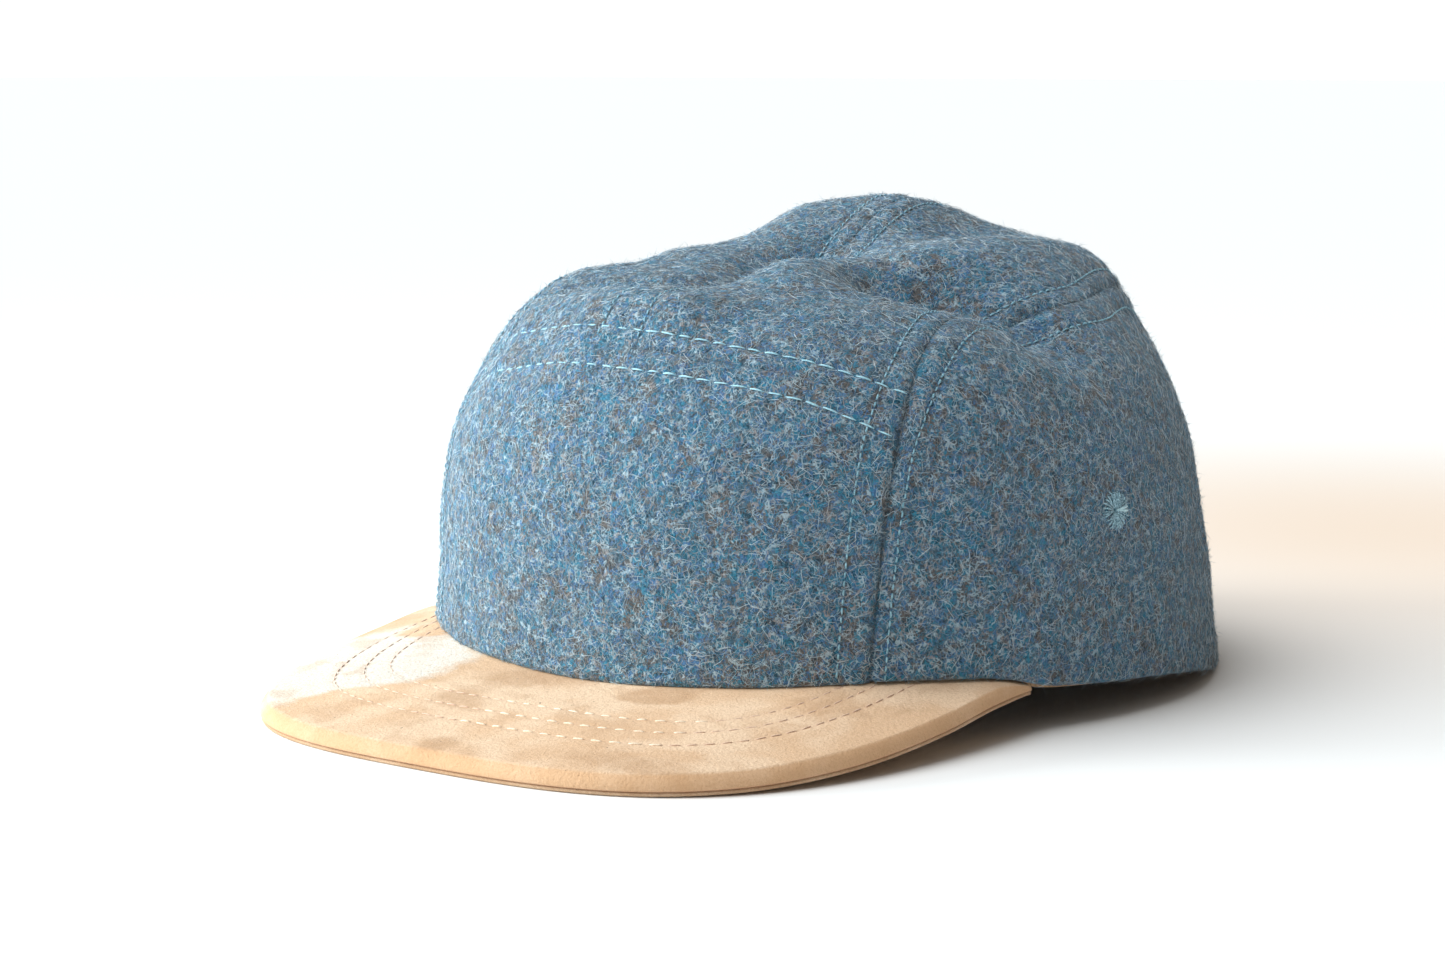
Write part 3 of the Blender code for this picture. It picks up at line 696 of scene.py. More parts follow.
def math2(tree, operation, first, second=None):
    node = addNode(tree, "ShaderNodeMath", operation=operation)
    for index, value in enumerate((first, second)):
        if value is None:
            continue
        if isinstance(value, (int, float)):
            node.inputs[index].default_value = value
        else:
            tree.links.new(value, node.inputs[index])
    return node.outputs[0]


def attribute(tree, name):
    return addNode(tree, "ShaderNodeAttribute", attribute_name=name).outputs["Fac"]


def fineLines(tree, size, width, shift, breaks):
    # thin curling lines: where a noise passes its middle value, broken into short lengths by another
    field = noiseAt(tree, size, 1.0, 0.4, 0.6, shift)
    away = math2(tree, "ABSOLUTE", math2(tree, "SUBTRACT", field, 0.5))
    line = spread(tree, away, width * 1.6, width * 0.5)
    parts = noiseAt(tree, breaks, 0.0, 0.5, 0.0, tuple(value + 17.0 for value in shift))
    return math2(tree, "MULTIPLY", line, spread(tree, parts, 0.44, 0.54))


def addBump(tree, shader, height, strength, distance):
    bump = addNode(tree, "ShaderNodeBump", {"Strength": strength, "Distance": distance * mm})
    tree.links.new(height, bump.inputs["Height"])
    tree.links.new(bump.outputs["Normal"], shader.inputs["Normal"])


# the wool's colors, as a heather of mixed fibres, and its fine lines: color, size, width and shift
woolLook = {
    "ground": (0.057, 0.178, 0.286),
    "grey": (0.118, 0.180, 0.226),
    "teal": (0.038, 0.232, 0.360),
    "blue": (0.080, 0.200, 0.400),
    "brown": (0.150, 0.134, 0.124),
    "deep": (0.014, 0.038, 0.060),
    "light": (0.420, 0.560, 0.640),
    "pale": (0.350, 0.330, 0.330),
    # groove is the color of the painted shade in the seams and rows
    "groove": (0.020, 0.034, 0.044),
    "lines": (("deep", 1.1, 0.050, (5, 61, 13)), ("teal", 1.3, 0.046, (23, 7, 3)),
              ("brown", 1.4, 0.036, (2, 43, 37)), ("blue", 1.2, 0.040, (9, 14, 71)),
              ("pale", 1.9, 0.024, (53, 31, 5)), ("light", 1.5, 0.026, (19, 3, 47)),
              ("light", 2.1, 0.018, (67, 23, 11))),
    "lineBreaks": 2.2,
}


def makeWool():
    look = woolLook
    made, tree, shader = newMaterial("wool")
    setSockets(shader, {"Roughness": 0.95, "Specular IOR Level": 0.10, "Sheen Weight": 0.40,
                        "Sheen Roughness": 0.5, "Sheen Tint": (0.82, 0.88, 0.90, 1)})
    patches = noiseAt(tree, 7.0, 3.0, 0.6, 0.8)
    tealPatch = spread(tree, noiseAt(tree, 6.0, 3.0, 0.6, 0.9, (11, 5, 2)), 0.47, 0.60)
    bluePatch = spread(tree, noiseAt(tree, 3.4, 3.0, 0.6, 0.9, (3, 29, 8)), 0.54, 0.63)
    brownPatch = spread(tree, noiseAt(tree, 6.5, 2.0, 0.5, 0.8, (41, 9, 19)), 0.50, 0.62)
    # small pits: the bump sinks them, and the color darkens them as painted shade
    pitsWithPaintedShade = spread(tree, noiseAt(tree, 0.55, 2.0, 0.6, 0.3, (7, 2, 23)), 0.40, 0.62)
    color = mixColor(tree, spread(tree, patches, 0.35, 0.68), look["ground"], look["grey"])
    color = mixColor(tree, tealPatch, color, look["teal"])
    color = mixColor(tree, bluePatch, color, look["blue"])
    color = mixColor(tree, brownPatch, color, look["brown"])
    # painted shade in the pits, towards the deep color
    color = mixColor(tree, math2(tree, "MULTIPLY", pitsWithPaintedShade, 0.55), color, look["deep"])
    heights = []
    for label, size, width, shift in look["lines"]:
        lines = fineLines(tree, size, width, shift, look["lineBreaks"])
        color = mixColor(tree, math2(tree, "MULTIPLY", lines, 0.8), color, look[label])
        heights.append(lines)
    # painted shade: seams and rows darkened towards the groove color
    shade = attribute(tree, "shade")
    color = mixColor(tree, math2(tree, "MULTIPLY", shade, 0.7), color, look["groove"])
    tree.links.new(color, shader.inputs["Base Color"])
    height = math2(tree, "MULTIPLY", pitsWithPaintedShade, -0.35)
    for lines in heights[1:]:
        height = math2(tree, "ADD", height, math2(tree, "MULTIPLY", lines, 0.5))
    coarse = noiseAt(tree, 1.3, 3.0, 0.6, 0.5, (1, 2, 3))
    height = math2(tree, "ADD", height, coarse)
    addBump(tree, shader, height, 0.7, 0.35)
    return made


suedeLook = {
    # bright is a painted highlight: the almost white tone where the brim's left is painted as more strongly
    # lit
    "bright": (0.745, 0.755, 0.710),
    "pale": (0.795, 0.580, 0.400),
    "tan": (0.695, 0.460, 0.286),
    "dark": (0.490, 0.290, 0.160),
    "speck": (0.190, 0.120, 0.085),
    "line": (0.560, 0.330, 0.225),
    # edge: the rolled edge's deeper, more saturated tone, darkened also as painted shade where less light
    # falls on it
    "edge": (0.640, 0.370, 0.190),
    # the line between the cover and the under cover: the cut edge's reddish tone, darkened also as painted
    # shade in the gap between the layers
    "cutEdgeLineAndShade": (0.460, 0.250, 0.155),
}


def makeSuede(name, paintedShadeOf):
    look = suedeLook
    made, tree, shader = newMaterial(name)
    setSockets(shader, {"Roughness": 0.92, "Specular IOR Level": 0.10, "Sheen Weight": 0.12,
                        "Sheen Roughness": 0.5, "Sheen Tint": (1.0, 0.90, 0.78, 1)})
    brushed = spread(tree, noiseAt(tree, 17.0, 3.0, 0.45, 0.35, (4, 9, 1)), 0.40, 0.62)
    darker = spread(tree, noiseAt(tree, 11.0, 3.0, 0.45, 0.4, (31, 2, 7)), 0.52, 0.66)
    mottle = spread(tree, noiseAt(tree, 2.4, 4.0, 0.65, 0.2, (8, 3, 15)), 0.30, 0.72)
    nap = noiseAt(tree, 0.55, 4.0, 0.75, 0.2, (2, 6, 4))
    color = mixColor(tree, brushed, look["tan"], look["pale"])
    ragged = noiseAt(tree, 4.5, 4.0, 0.65, 0.5, (12, 3, 21))
    # the strokes carry the suede's own brushed patches, the painted highlight at the brim's left, and painted
    # crown shade on the brim beside the wool
    strokesAndPaintedLight = math2(tree, "ADD", attribute(tree, "brushed"), math2(tree, "MULTIPLY", ragged, 0.55))
    color = mixColor(tree, spread(tree, strokesAndPaintedLight, 0.36, 0.85, 0.0, 0.75), color, look["dark"])
    color = mixColor(tree, spread(tree, strokesAndPaintedLight, 0.14, -0.20, 0.0, 0.85), color, look["bright"])
    color = mixColor(tree, math2(tree, "MULTIPLY", darker, 0.35), color, look["dark"])
    color = mixColor(tree, math2(tree, "MULTIPLY", mottle, 0.22), color, look["pale"])
    color = mixColor(tree, spread(tree, nap, 0.42, 0.68, 0.0, 0.50), color, look["dark"])
    specks = spread(tree, noiseAt(tree, 1.5, 2.0, 0.5, 0.0, (71, 13, 5)), 0.745, 0.775)
    color = mixColor(tree, math2(tree, "MULTIPLY", specks, 0.75), color, look["speck"])
    color = mixColor(tree, math2(tree, "MULTIPLY", attribute(tree, "groove"), 0.18), color, look["line"])
    # the rolled edge: its own deeper tone plus painted shade
    color = mixColor(tree, math2(tree, "MULTIPLY", attribute(tree, "edge"), 0.55), color, look["edge"])
    # the cut edge's tone with painted shade in the gap between the layers
    color = mixColor(tree, math2(tree, "MULTIPLY", attribute(tree, "cutEdgeLineAndShade"), 0.5), color, look["cutEdgeLineAndShade"])
    # painted shade: the whole suede darkened and warmed by this factor
    if paintedShadeOf < 1:
        color = mixColor(tree, 1.0, color, (paintedShadeOf, paintedShadeOf * 0.97, paintedShadeOf * 0.93), "MULTIPLY")
    tree.links.new(color, shader.inputs["Base Color"])
    grain = math2(tree, "MULTIPLY", noiseAt(tree, 0.9, 3.0, 0.6, 0.3, (5, 5, 5)), 1.5)
    height = math2(tree, "ADD", nap, grain)
    addBump(tree, shader, height, 0.7, 0.22)
    return made


bandLook = {"light": (0.560, 0.360, 0.210), "dark": (0.340, 0.200, 0.105), "ribs": 1.1}


def makeBandCloth():
    # twill: slanting ribs over the band's own round and rise, in millimetres
    made, tree, shader = newMaterial("bandTwill")
    setSockets(shader, {"Roughness": 0.85, "Specular IOR Level": 0.2, "Sheen Weight": 0.15})
    slant = math2(tree, "ADD", attribute(tree, "round"), attribute(tree, "rise"))
    ribs = math2(tree, "SINE", math2(tree, "MULTIPLY", slant, 2 * math.pi / bandLook["ribs"]))
    cross = math2(tree, "SUBTRACT", attribute(tree, "round"), attribute(tree, "rise"))
    yarns = math2(tree, "SINE", math2(tree, "MULTIPLY", cross, 4 * math.pi / bandLook["ribs"]))
    weave = math2(tree, "ADD", ribs, math2(tree, "MULTIPLY", yarns, 0.35))
    uneven = noiseAt(tree, 1.6, 3.0, 0.6, 0.3, (3, 1, 8))
    factor = spread(tree, math2(tree, "ADD", weave, uneven), -1.0, 1.8)
    tree.links.new(mixColor(tree, factor, bandLook["dark"], bandLook["light"]), shader.inputs["Base Color"])
    addBump(tree, shader, weave, 0.5, 0.12)
    return made


def makeThread(name, dark, light, roughness):
    made, tree, shader = newMaterial(name)
    setSockets(shader, {"Roughness": roughness, "Specular IOR Level": 0.35, "Sheen Weight": 0.2})
    uneven = noiseAt(tree, 0.35, 2.0, 0.6, 0.2, (6, 4, 2))
    tree.links.new(mixColor(tree, spread(tree, uneven, 0.35, 0.65), dark, light), shader.inputs["Base Color"])
    return made


def plainFibre(name, color):
    made, tree, shader = newMaterial(name)
    setSockets(shader, {"Base Color": (*color, 1), "Roughness": 0.8, "Specular IOR Level": 0.2,
                        "Sheen Weight": 0.3})
    return made


suede = makeSuede("suede", 1.0)
# the under cover is the same suede darkened as painted shade for its place beneath the brim
underSuede = makeSuede("underSuede", 0.80)
bandTwill = makeBandCloth()
contrastThread = makeThread("contrastThread", (0.30, 0.60, 0.73), (0.50, 0.80, 0.90), 0.55)
tonalThread = makeThread("tonalThread", (0.17, 0.37, 0.47), (0.33, 0.57, 0.68), 0.6)
satinThread = makeThread("satinThread", (0.12, 0.27, 0.35), (0.56, 0.83, 0.94), 0.33)
knotThread = makeThread("knotThread", (0.44, 0.70, 0.80), (0.68, 0.89, 0.94), 0.4)
brimThread = makeThread("brimThread", (0.78, 0.62, 0.45), (0.90, 0.78, 0.62), 0.8)
sunkThread = makeThread("sunkThread", (0.67, 0.46, 0.335), (0.78, 0.57, 0.435), 0.8)
wool = makeWool()


def baked(piece, modifier):
    # the mesh that a modifier makes, with the modifier removed
    graph = bpy.context.evaluated_depsgraph_get()
    made = bpy.data.meshes.new_from_object(piece.evaluated_get(graph), depsgraph=graph)
    piece.modifiers.remove(modifier)
    return made


def finishPiece(piece, slot, *nodes):
    if nodes:
        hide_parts(*nodes)
    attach(piece, "root")


def makePanel(name, panel):
    outer, shade, keep = woolShape(panel["base"], panel["normal"])
    inner = panel["base"] - panel["normal"] * crownForm["wool"]
    edge = panel["rim"]
    if name == "frontPanel":
        outer[edge, :, 2] -= woolRelief["settle"] * mm
    inner[edge, :, 2] = outer[edge, :, 2]
    panel["outer"], panel["keep"] = outer, keep
    return addPiece(name, wall(name, outer, inner, {"shade": shade}), wool)


for name, panel in panels.items():
    panel["piece"] = makePanel(name, panel)
skin = skinTree([panel["outer"] for panel in panels.values()])
print("wool panels made")


def snapped(path, lift):
    # the path on the finished wool, with the wool's outward direction at each point
    found = [skin.find_nearest(point)[:2] for point in path.tolist()]
    normals = []
    for (place, normal), guess in zip(found, path - np.array([0, 0, crownForm["heart"]])):
        normals.append(normal if normal.dot(Vector(guess)) > 0 else -normal)
    normals = unit(np.array(normals))
    return np.array([place for place, normal in found]) + normals * lift, normals


def eyeletFrames():
    frames = {}
    for side, way in (("Left", 1), ("Right", -1)):
        point = crown(eyeletSpot * [way, 1])
        normal = crownNormal(eyeletSpot * [way, 1])
        place = np.array(skin.ray_cast(Vector(point + normal * 0.01), Vector(-normal))[0])
        back = unit(np.array([0.0, 1.0, 0.0]) - normal * normal[1])
        frames[side] = (place, normal, back)
    return frames


def cutHole(piece, place, normal):
    shape = bmesh.new()
    radius = eyeletForm["hole"] * mm
    bmesh.ops.create_cone(shape, cap_ends=True, segments=28, radius1=radius, radius2=radius, depth=0.02)
    drill = bpy.data.meshes.new("drill")
    shape.to_mesh(drill)
    shape.free()
    drill.transform(Matrix.Translation(place) @ Vector(normal).to_track_quat("Z", "Y").to_matrix().to_4x4())
    hole = piece.modifiers.new("hole", "BOOLEAN")
    hole.operation = "DIFFERENCE"
    hole.solver = "EXACT"
    hole.object = bpy.data.objects.new("drill", drill)
    piece.data = baked(piece, hole)


eyeletPlaces = eyeletFrames()
for side, (place, normal, back) in eyeletPlaces.items():
    cutHole(panels["sidePanel" + side]["piece"], place, normal)
for panel in panels.values():
    finishPiece(panel["piece"], "wool", panel["node"])

# the brim: a covered board and a thin under cover, both bent to one form
brimForm = {
    "reach": 0.0521,
    "overhang": 0.0002,
    "squareness": 3.05,
    "cornerBack": 0.0543,
    "cornerDrop": 0.0005,
    "topWall": 0.0031,
    "underWall": 0.0008,
    "gap": 0.0003,
    "seamGap": 0.0001,
    "foldOut": 0.0021,
    "foldDown": 0.0026,
    "foldStart": 45,
    "lowFold": 0.0003,
    # place from the middle to the corner, rise of the edge from the table to the rim, share of topWall left
    "edge": ((0.0, 0.0, 1.0), (0.30, 0.0, 1.0), (0.45, 0.04, 1.0), (0.60, 0.20, 1.0), (0.80, 0.60, 0.97),
             (0.92, 0.915, 0.95), (1.0, 1.0, 0.35)),
    "columns": 210,
    "rows": 74,
    "underRows": 12,
    # stitched rows seen from above: half width and length from the corners' line, and squareness
    "stitched": ((0.0585, 0.0725, 4.0), (0.0635, 0.0795, 3.7), (0.0690, 0.0870, 3.5)),
    "stitchSink": 0.08,
    "stitchWidth": 0.5,
    "pillow": 0.07,
    "wave": 0.16,
    "waveSize": 20.0,
    "grain": 0.03,
    "grainSize": 3.2,
    # the pale stitches show in the middle of the front, from and to, and the sunk ones beside them
    "paleFrom": -0.003,
    "paleTo": 0.044,
    # brushed places: how far from the middle and from the front edge of the solids, half length and half
    # width, all in millimetres, then the turn in degrees and how dark. Less than nothing is pale. Most are
    # the suede's own brushed patches; the large pale place at the left is a painted highlight, and the dark
    # place at 25 mm beside the wool also holds painted shade from the crown
    "brushed": ((16, 61, 13, 6, 8, 0.8), (-56, 70, 12, 6, 40, 0.75), (-11, 49, 14, 8, 20, 0.6),
                (2, 5, 5, 6, 0, 0.6), (-14, 30, 10, 6, -20, 0.5), (-42, 24, 14, 6, 30, 0.4),
                (46, 14, 20, 6, 10, 0.45),
                (34, 62, 10, 5, 25, 0.55), (60, 60, 8, 10, 20, 0.35), (6, 40, 9, 5, 5, -0.15),
                (-62, 42, 30, 26, 60, -1.2), (25, 49, 9, 5, 12, 1.0)),
}


def squareOutline(halfWidth, length, squareness, steps, quarterTurns=1.0):
    angle = np.linspace(-math.pi / 2, math.pi / 2, steps) * quarterTurns
    total = np.abs(np.sin(angle) / halfWidth) ** squareness + np.abs(np.cos(angle) / length) ** squareness
    size = total ** (-1 / squareness)
    return np.stack([size * np.sin(angle), -size * np.cos(angle)], -1)


def evenSteps(points, count):
    walked = np.concatenate([[0.0], np.cumsum(np.linalg.norm(np.diff(points, axis=0), axis=-1))])
    stops = np.linspace(0, walked[-1], count + 1)
    return np.stack([np.interp(stops, walked, points[:, axis]) for axis in range(points.shape[1])], -1)


def layOutBrim():
    form = brimForm
    cornerY = form["cornerBack"] - crownForm["frontReach"]
    turns = np.linspace(0, math.pi, 400)
    cornerTurn = np.interp(cornerY, -rimReach(turns) * np.cos(turns), turns)
    halfWidth = rimReach(cornerTurn) * math.sin(cornerTurn) + form["overhang"]
    outline = squareOutline(halfWidth, form["reach"] + form["cornerBack"], form["squareness"], 2000)
    outer = evenSteps(outline + [0, cornerY], form["columns"])
    share = np.abs(np.linspace(-1, 1, form["columns"] + 1))
    wallLeft = form["topWall"] * smooth(form["edge"], share, 2)
    onTable = form["underWall"] + form["gap"] + wallLeft
    climb = rimHeight(cornerTurn) - form["cornerDrop"] - onTable[-1]
    outerHeight = onTable + climb * smooth(form["edge"], share)
    turn = np.linspace(-cornerTurn, cornerTurn, form["columns"] + 1)
    reach = rimReach(turn) - crownForm["wool"]
    inner = np.stack([reach * np.sin(turn), -reach * np.cos(turn)], -1)
    shift = headShift[:2]
    inner, outer = inner + shift, outer + shift
    return {
        "inner": inner, "outer": outer, "length": np.linalg.norm(outer - inner, axis=-1)[:, None],
        "innerHeight": rimHeight(turn) - form["gap"], "outerHeight": outerHeight, "wallLeft": wallLeft,
        "cornerY": cornerY + shift[1],
    }


def tubeFaces(rings, around):
    # the faces between closed loops of points, and the first and the last loop
    at = np.arange(rings * around).reshape(rings, around)
    onward = np.roll(at, -1, axis=1)
    faces = np.stack([at[:-1], onward[:-1], onward[1:], at[1:]], -1).reshape(-1, 4).tolist()
    return faces, at[0].tolist(), at[-1].tolist()


def sweptSection(name, section, layers):
    # a closed mesh from one closed loop of points for each column
    faces, first, last = tubeFaces(*section.shape[:2])
    mesh = bpy.data.meshes.new(name)
    mesh.from_pydata(section.reshape(-1, 3).tolist(), [], faces + [first, last[::-1]])
    for label, values in layers.items():
        addFloat(mesh, label, values)
    faceOutwards(mesh)
    return mesh


def roundCorner(radius, steps, start, end):
    angle = np.radians(np.linspace(start, end, steps))
    return radius * np.cos(angle), radius * np.sin(angle)


def levelAt(brim, across):
    # heights of the brim's upper side, at distances from the crown
    share = across / brim["length"]
    return brim["innerHeight"][:, None] * (1 - share) + brim["outerHeight"][:, None] * share


def placeAt(brim, across, height):
    share = (across / brim["length"])[..., None]
    plan = brim["inner"][:, None] * (1 - share) + brim["outer"][:, None] * share
    return np.concatenate([plan, height[..., None]], -1)


def brushedAndPaintedLightAt(section):
    # brushed patches of the suede, with a painted highlight and painted crown shade among them
    brushed = np.zeros(section.shape[:2])
    for x, y, reach, width, turned, dark in brimForm["brushed"]:
        turned = math.radians(turned)
        apart = section[..., :2] / mm - [x, cadLow.y / mm + y]
        lengthwise = apart[..., 0] * math.cos(turned) + apart[..., 1] * math.sin(turned)
        crosswise = apart[..., 1] * math.cos(turned) - apart[..., 0] * math.sin(turned)
        brushed += dark * np.exp(-((lengthwise / reach) ** 2 + (crosswise / width) ** 2) ** 1.5)
    return brushed


def makeBrimCover(brim, outlines):
    form = brimForm
    length, wallLeft = brim["length"], brim["wallLeft"]
    stitched = pointTree([(x, y, 0.0) for outline in outlines for x, y in outline.tolist()])
    left = wallLeft[:, None] / form["topWall"]
    fold = np.minimum(form["foldOut"] * left, length / 3)
    low = form["lowFold"] * left
    flat = (length - fold) * np.linspace(0, 1, form["rows"])
    start = math.radians(form["foldStart"])
    angle = np.linspace(start, 0, 8)[1:]
    arc = length - fold + fold * (np.cos(angle) - math.cos(start)) / (1 - math.cos(start))
    arcDrop = form["foldDown"] * left * (1 - np.sin(angle) / math.sin(start))
    lowX, lowZ = roundCorner(1.0, 4, 0, -90)
    lowArc = length - low + low * lowX
    back = (length - low) * np.linspace(1, 0, form["underRows"])[1:]
    across = np.concatenate([flat, arc, lowArc, back], axis=1)
    floorOf = levelAt(brim, across) - wallLeft[:, None]
    topCount = form["rows"] + arc.shape[1]
    height = np.concatenate([levelAt(brim, flat), levelAt(brim, arc) - arcDrop], axis=1)
    lowHeight = floorOf[:, topCount:].copy()
    lowHeight[:, :lowArc.shape[1]] += low * (1 + lowZ)
    section = placeAt(brim, across, np.concatenate([height, lowHeight], axis=1))

    top = section[:, :form["rows"]]
    baseTop = top.copy()
    flatPlan = top.copy()
    flatPlan[..., 2] = 0
    away = awayFrom(stitched, flatPlan) / mm
    edgeAway = (length - across[:, :form["rows"]]) / mm
    sink = -form["stitchSink"] * np.exp(-(away / form["stitchWidth"]) ** 2)
    sink += form["pillow"] * np.exp(-((away - 2.2) / 1.6) ** 2)
    uneven = [noise.noise(Vector(place) / form["waveSize"]) * form["wave"]
              + noise.noise(Vector(place) / form["grainSize"]) * form["grain"]
              for place in (top / mm).reshape(-1, 3).tolist()]
    sink += np.array(uneven).reshape(sink.shape) * np.clip(edgeAway / 5, 0, 1)
    top[..., 2] += sink * np.clip(edgeAway / 3, 0, 1) * mm
    groove, edge, cutEdgeLineAndShade = (np.zeros(section.shape[:2]) for layer in range(3))
    groove[:, :form["rows"]] = np.exp(-(away / 0.45) ** 2)
    # the rolled edge band, which takes the edge color with its painted shade
    edge[:, form["rows"]:topCount + lowArc.shape[1]] = 1.0
    # the lowest arc, where the cut edge and the painted shade of the gap show
    cutEdgeLineAndShade[:, topCount + 1:topCount + lowArc.shape[1] - 1] = 1.0
    layers = {"groove": groove, "edge": edge, "cutEdgeLineAndShade": cutEdgeLineAndShade, "brushed": brushedAndPaintedLightAt(section)}
    return addPiece("brimCover", sweptSection("brimCover", section, layers), suede), baseTop


def makeUnderCover(brim):
    form = brimForm
    length = brim["length"]
    topOfUnder = -brim["wallLeft"][:, None] - form["seamGap"]
    thick = form["underWall"] + form["gap"] - form["seamGap"]
    reach = length - form["gap"]
    bend = thick / 2
    sideX, sideZ = roundCorner(bend, 6, 90, -90)
    upper = (reach - bend) * np.linspace(0, 1, form["underRows"])
    across = np.concatenate([upper, reach - bend + sideX[None, 1:-1] + 0 * length, upper[:, ::-1]], axis=1)
    drop = np.concatenate([0 * upper, (sideZ[None, 1:-1] - bend) + 0 * length, 0 * upper - thick], axis=1)
    section = placeAt(brim, across, levelAt(brim, across) + topOfUnder + drop)
    section[..., 2] = np.maximum(section[..., 2], 0.0)
    cutEdgeLineAndShade = np.zeros(section.shape[:2])
    # the under cover's top edge, where the cut edge and the painted shade of the gap show
    cutEdgeLineAndShade[:, form["underRows"] - 1:form["underRows"] + 1] = 1.0
    layers = {"groove": 0 * cutEdgeLineAndShade, "edge": 0 * cutEdgeLineAndShade, "cutEdgeLineAndShade": cutEdgeLineAndShade, "brushed": 0 * cutEdgeLineAndShade}
    return addPiece("brimUnderCover", sweptSection("brimUnderCover", section, layers), underSuede)


def rowOnBrim(outline, board):
    # a row dropped on the board, as far as it runs outside the crown
    path, normals = [], []
    for x, y in evenSteps(outline, 900).tolist():
        place, normal = board.ray_cast(Vector((x, y, 0.1)), Vector((0, 0, -1)))[:2]
        behind = y - headShift[1]
        if place is not None and np.hypot(x, behind) > rimReach(np.arctan2(x, -behind)) + 0.4 * mm:
            path.append(place)
            normals.append(normal if normal.z > 0 else -normal)
    return np.array(path), np.array(normals)


def makeBrim():
    brim = layOutBrim()
    outlines = [squareOutline(halfWidth, reach, squareness, 1500, 0.999) + [0, brim["cornerY"]]
                for halfWidth, reach, squareness in brimForm["stitched"]]
    cover, baseTop = makeBrimCover(brim, outlines)
    underCover = makeUnderCover(brim)
    board = BVHTree.FromPolygons(baseTop.reshape(-1, 3).tolist(), gridFaces(*baseTop.shape[:2]).tolist())
    return cover, underCover, [rowOnBrim(outline, board) for outline in outlines]


# thread shapes, and the trees that lay them out
def sweptThread(name, path, radius, sides):
    # a closed tube through a few points, thinner at its ends
    path = np.asarray(path, float)
    along = unit(np.gradient(path, axis=0))
    side = unit(np.cross(along, np.array([0.0, 0.0, 1.0]) + 0.01 * along[:, ::-1]))
    up = np.cross(side, along)
    angle = np.arange(sides) / sides * 2 * math.pi
    rings = (path[:, None] + radius[:, None, None] * (np.cos(angle)[None, :, None] * side[:, None]
                                                      + np.sin(angle)[None, :, None] * up[:, None]))
    faces, first, last = tubeFaces(len(path), sides)
    mesh = bpy.data.meshes.new(name)
    mesh.from_pydata(rings.reshape(-1, 3).tolist(), [], faces + [first[::-1], last])
    faceOutwards(mesh)
    mesh.shade_smooth()
    return mesh


def helper(name, mesh):
    # an object that only the trees read. It is in no collection of the scene
    return bpy.data.objects.new(name, mesh)


def newTree(name, inputs):
    tree = bpy.data.node_groups.new(name, "GeometryNodeTree")
    tree.interface.new_socket("Geometry", in_out="INPUT", socket_type="NodeSocketGeometry")
    for label, kind in inputs:
        tree.interface.new_socket(label, in_out="INPUT", socket_type="NodeSocket" + kind)
    tree.interface.new_socket("Geometry", in_out="OUTPUT", socket_type="NodeSocketGeometry")
    return tree, tree.nodes.new("NodeGroupInput"), tree.nodes.new("NodeGroupOutput")


def given(sockets, label, turn=0):
    found = [socket for socket in sockets if socket.name == label and socket.enabled]
    return found[turn]


def wire(tree, source, output, target, label, turn=0):
    tree.links.new(given(source.outputs, output), given(target.inputs, label, turn))


def endTree(tree, enter, leave, last):
    realize = tree.nodes.new("GeometryNodeRealizeInstances")
    finish = tree.nodes.new("GeometryNodeSetMaterial")
    tree.links.new(last, realize.inputs["Geometry"])
    wire(tree, realize, "Geometry", finish, "Geometry")
    wire(tree, enter, "Finish", finish, "Material")
    wire(tree, finish, "Geometry", leave, "Geometry")


def randomVector(tree, low, high, enter):
    node = addNode(tree, "FunctionNodeRandomValue", data_type="FLOAT_VECTOR")
    given(node.inputs, "Min").default_value = low
    given(node.inputs, "Max").default_value = high
    wire(tree, enter, "Seed", node, "Seed")
    return node


def makeStitchTree():
    tree, enter, leave = newTree("stitchesAlongPath", (
        ("Pitch", "Float"), ("Stitch", "Object"), ("Seed", "Int"), ("Finish", "Material")))
    curve = tree.nodes.new("GeometryNodeMeshToCurve")
    resample = addNode(tree, "GeometryNodeResampleCurve", mode="LENGTH")
    wire(tree, enter, "Geometry", curve, "Mesh")
    wire(tree, curve, "Curve", resample, "Curve")
    wire(tree, enter, "Pitch", resample, "Length")
    tangent = tree.nodes.new("GeometryNodeInputTangent")
    outward = addNode(tree, "GeometryNodeInputNamedAttribute", data_type="FLOAT_VECTOR")
    outward.inputs["Name"].default_value = "outward"
    alongPath = addNode(tree, "FunctionNodeAlignRotationToVector", axis="X")
    wire(tree, tangent, "Tangent", alongPath, "Vector")
    standing = addNode(tree, "FunctionNodeAlignRotationToVector", axis="Z", pivot_axis="X")
    wire(tree, alongPath, "Rotation", standing, "Rotation")
    wire(tree, outward, "Attribute", standing, "Vector")
    wobble = tree.nodes.new("FunctionNodeEulerToRotation")
    wire(tree, randomVector(tree, (-0.15, -0.06, -0.07), (0.15, 0.06, 0.07), enter), "Value", wobble, "Euler")
    turned = addNode(tree, "FunctionNodeRotateRotation", rotation_space="LOCAL")
    wire(tree, standing, "Rotation", turned, "Rotation")
    wire(tree, wobble, "Rotation", turned, "Rotate By")
    thread = tree.nodes.new("GeometryNodeObjectInfo")
    wire(tree, enter, "Stitch", thread, "Object")
    size = randomVector(tree, (0.88, 0.85, 0.75), (1.10, 1.12, 1.15), enter)
    place = tree.nodes.new("GeometryNodeInstanceOnPoints")
    wire(tree, resample, "Curve", place, "Points")
    wire(tree, thread, "Geometry", place, "Instance")
    wire(tree, turned, "Rotation", place, "Rotation")
    wire(tree, size, "Value", place, "Scale")
    endTree(tree, enter, leave, given(place.outputs, "Instances"))
    return tree


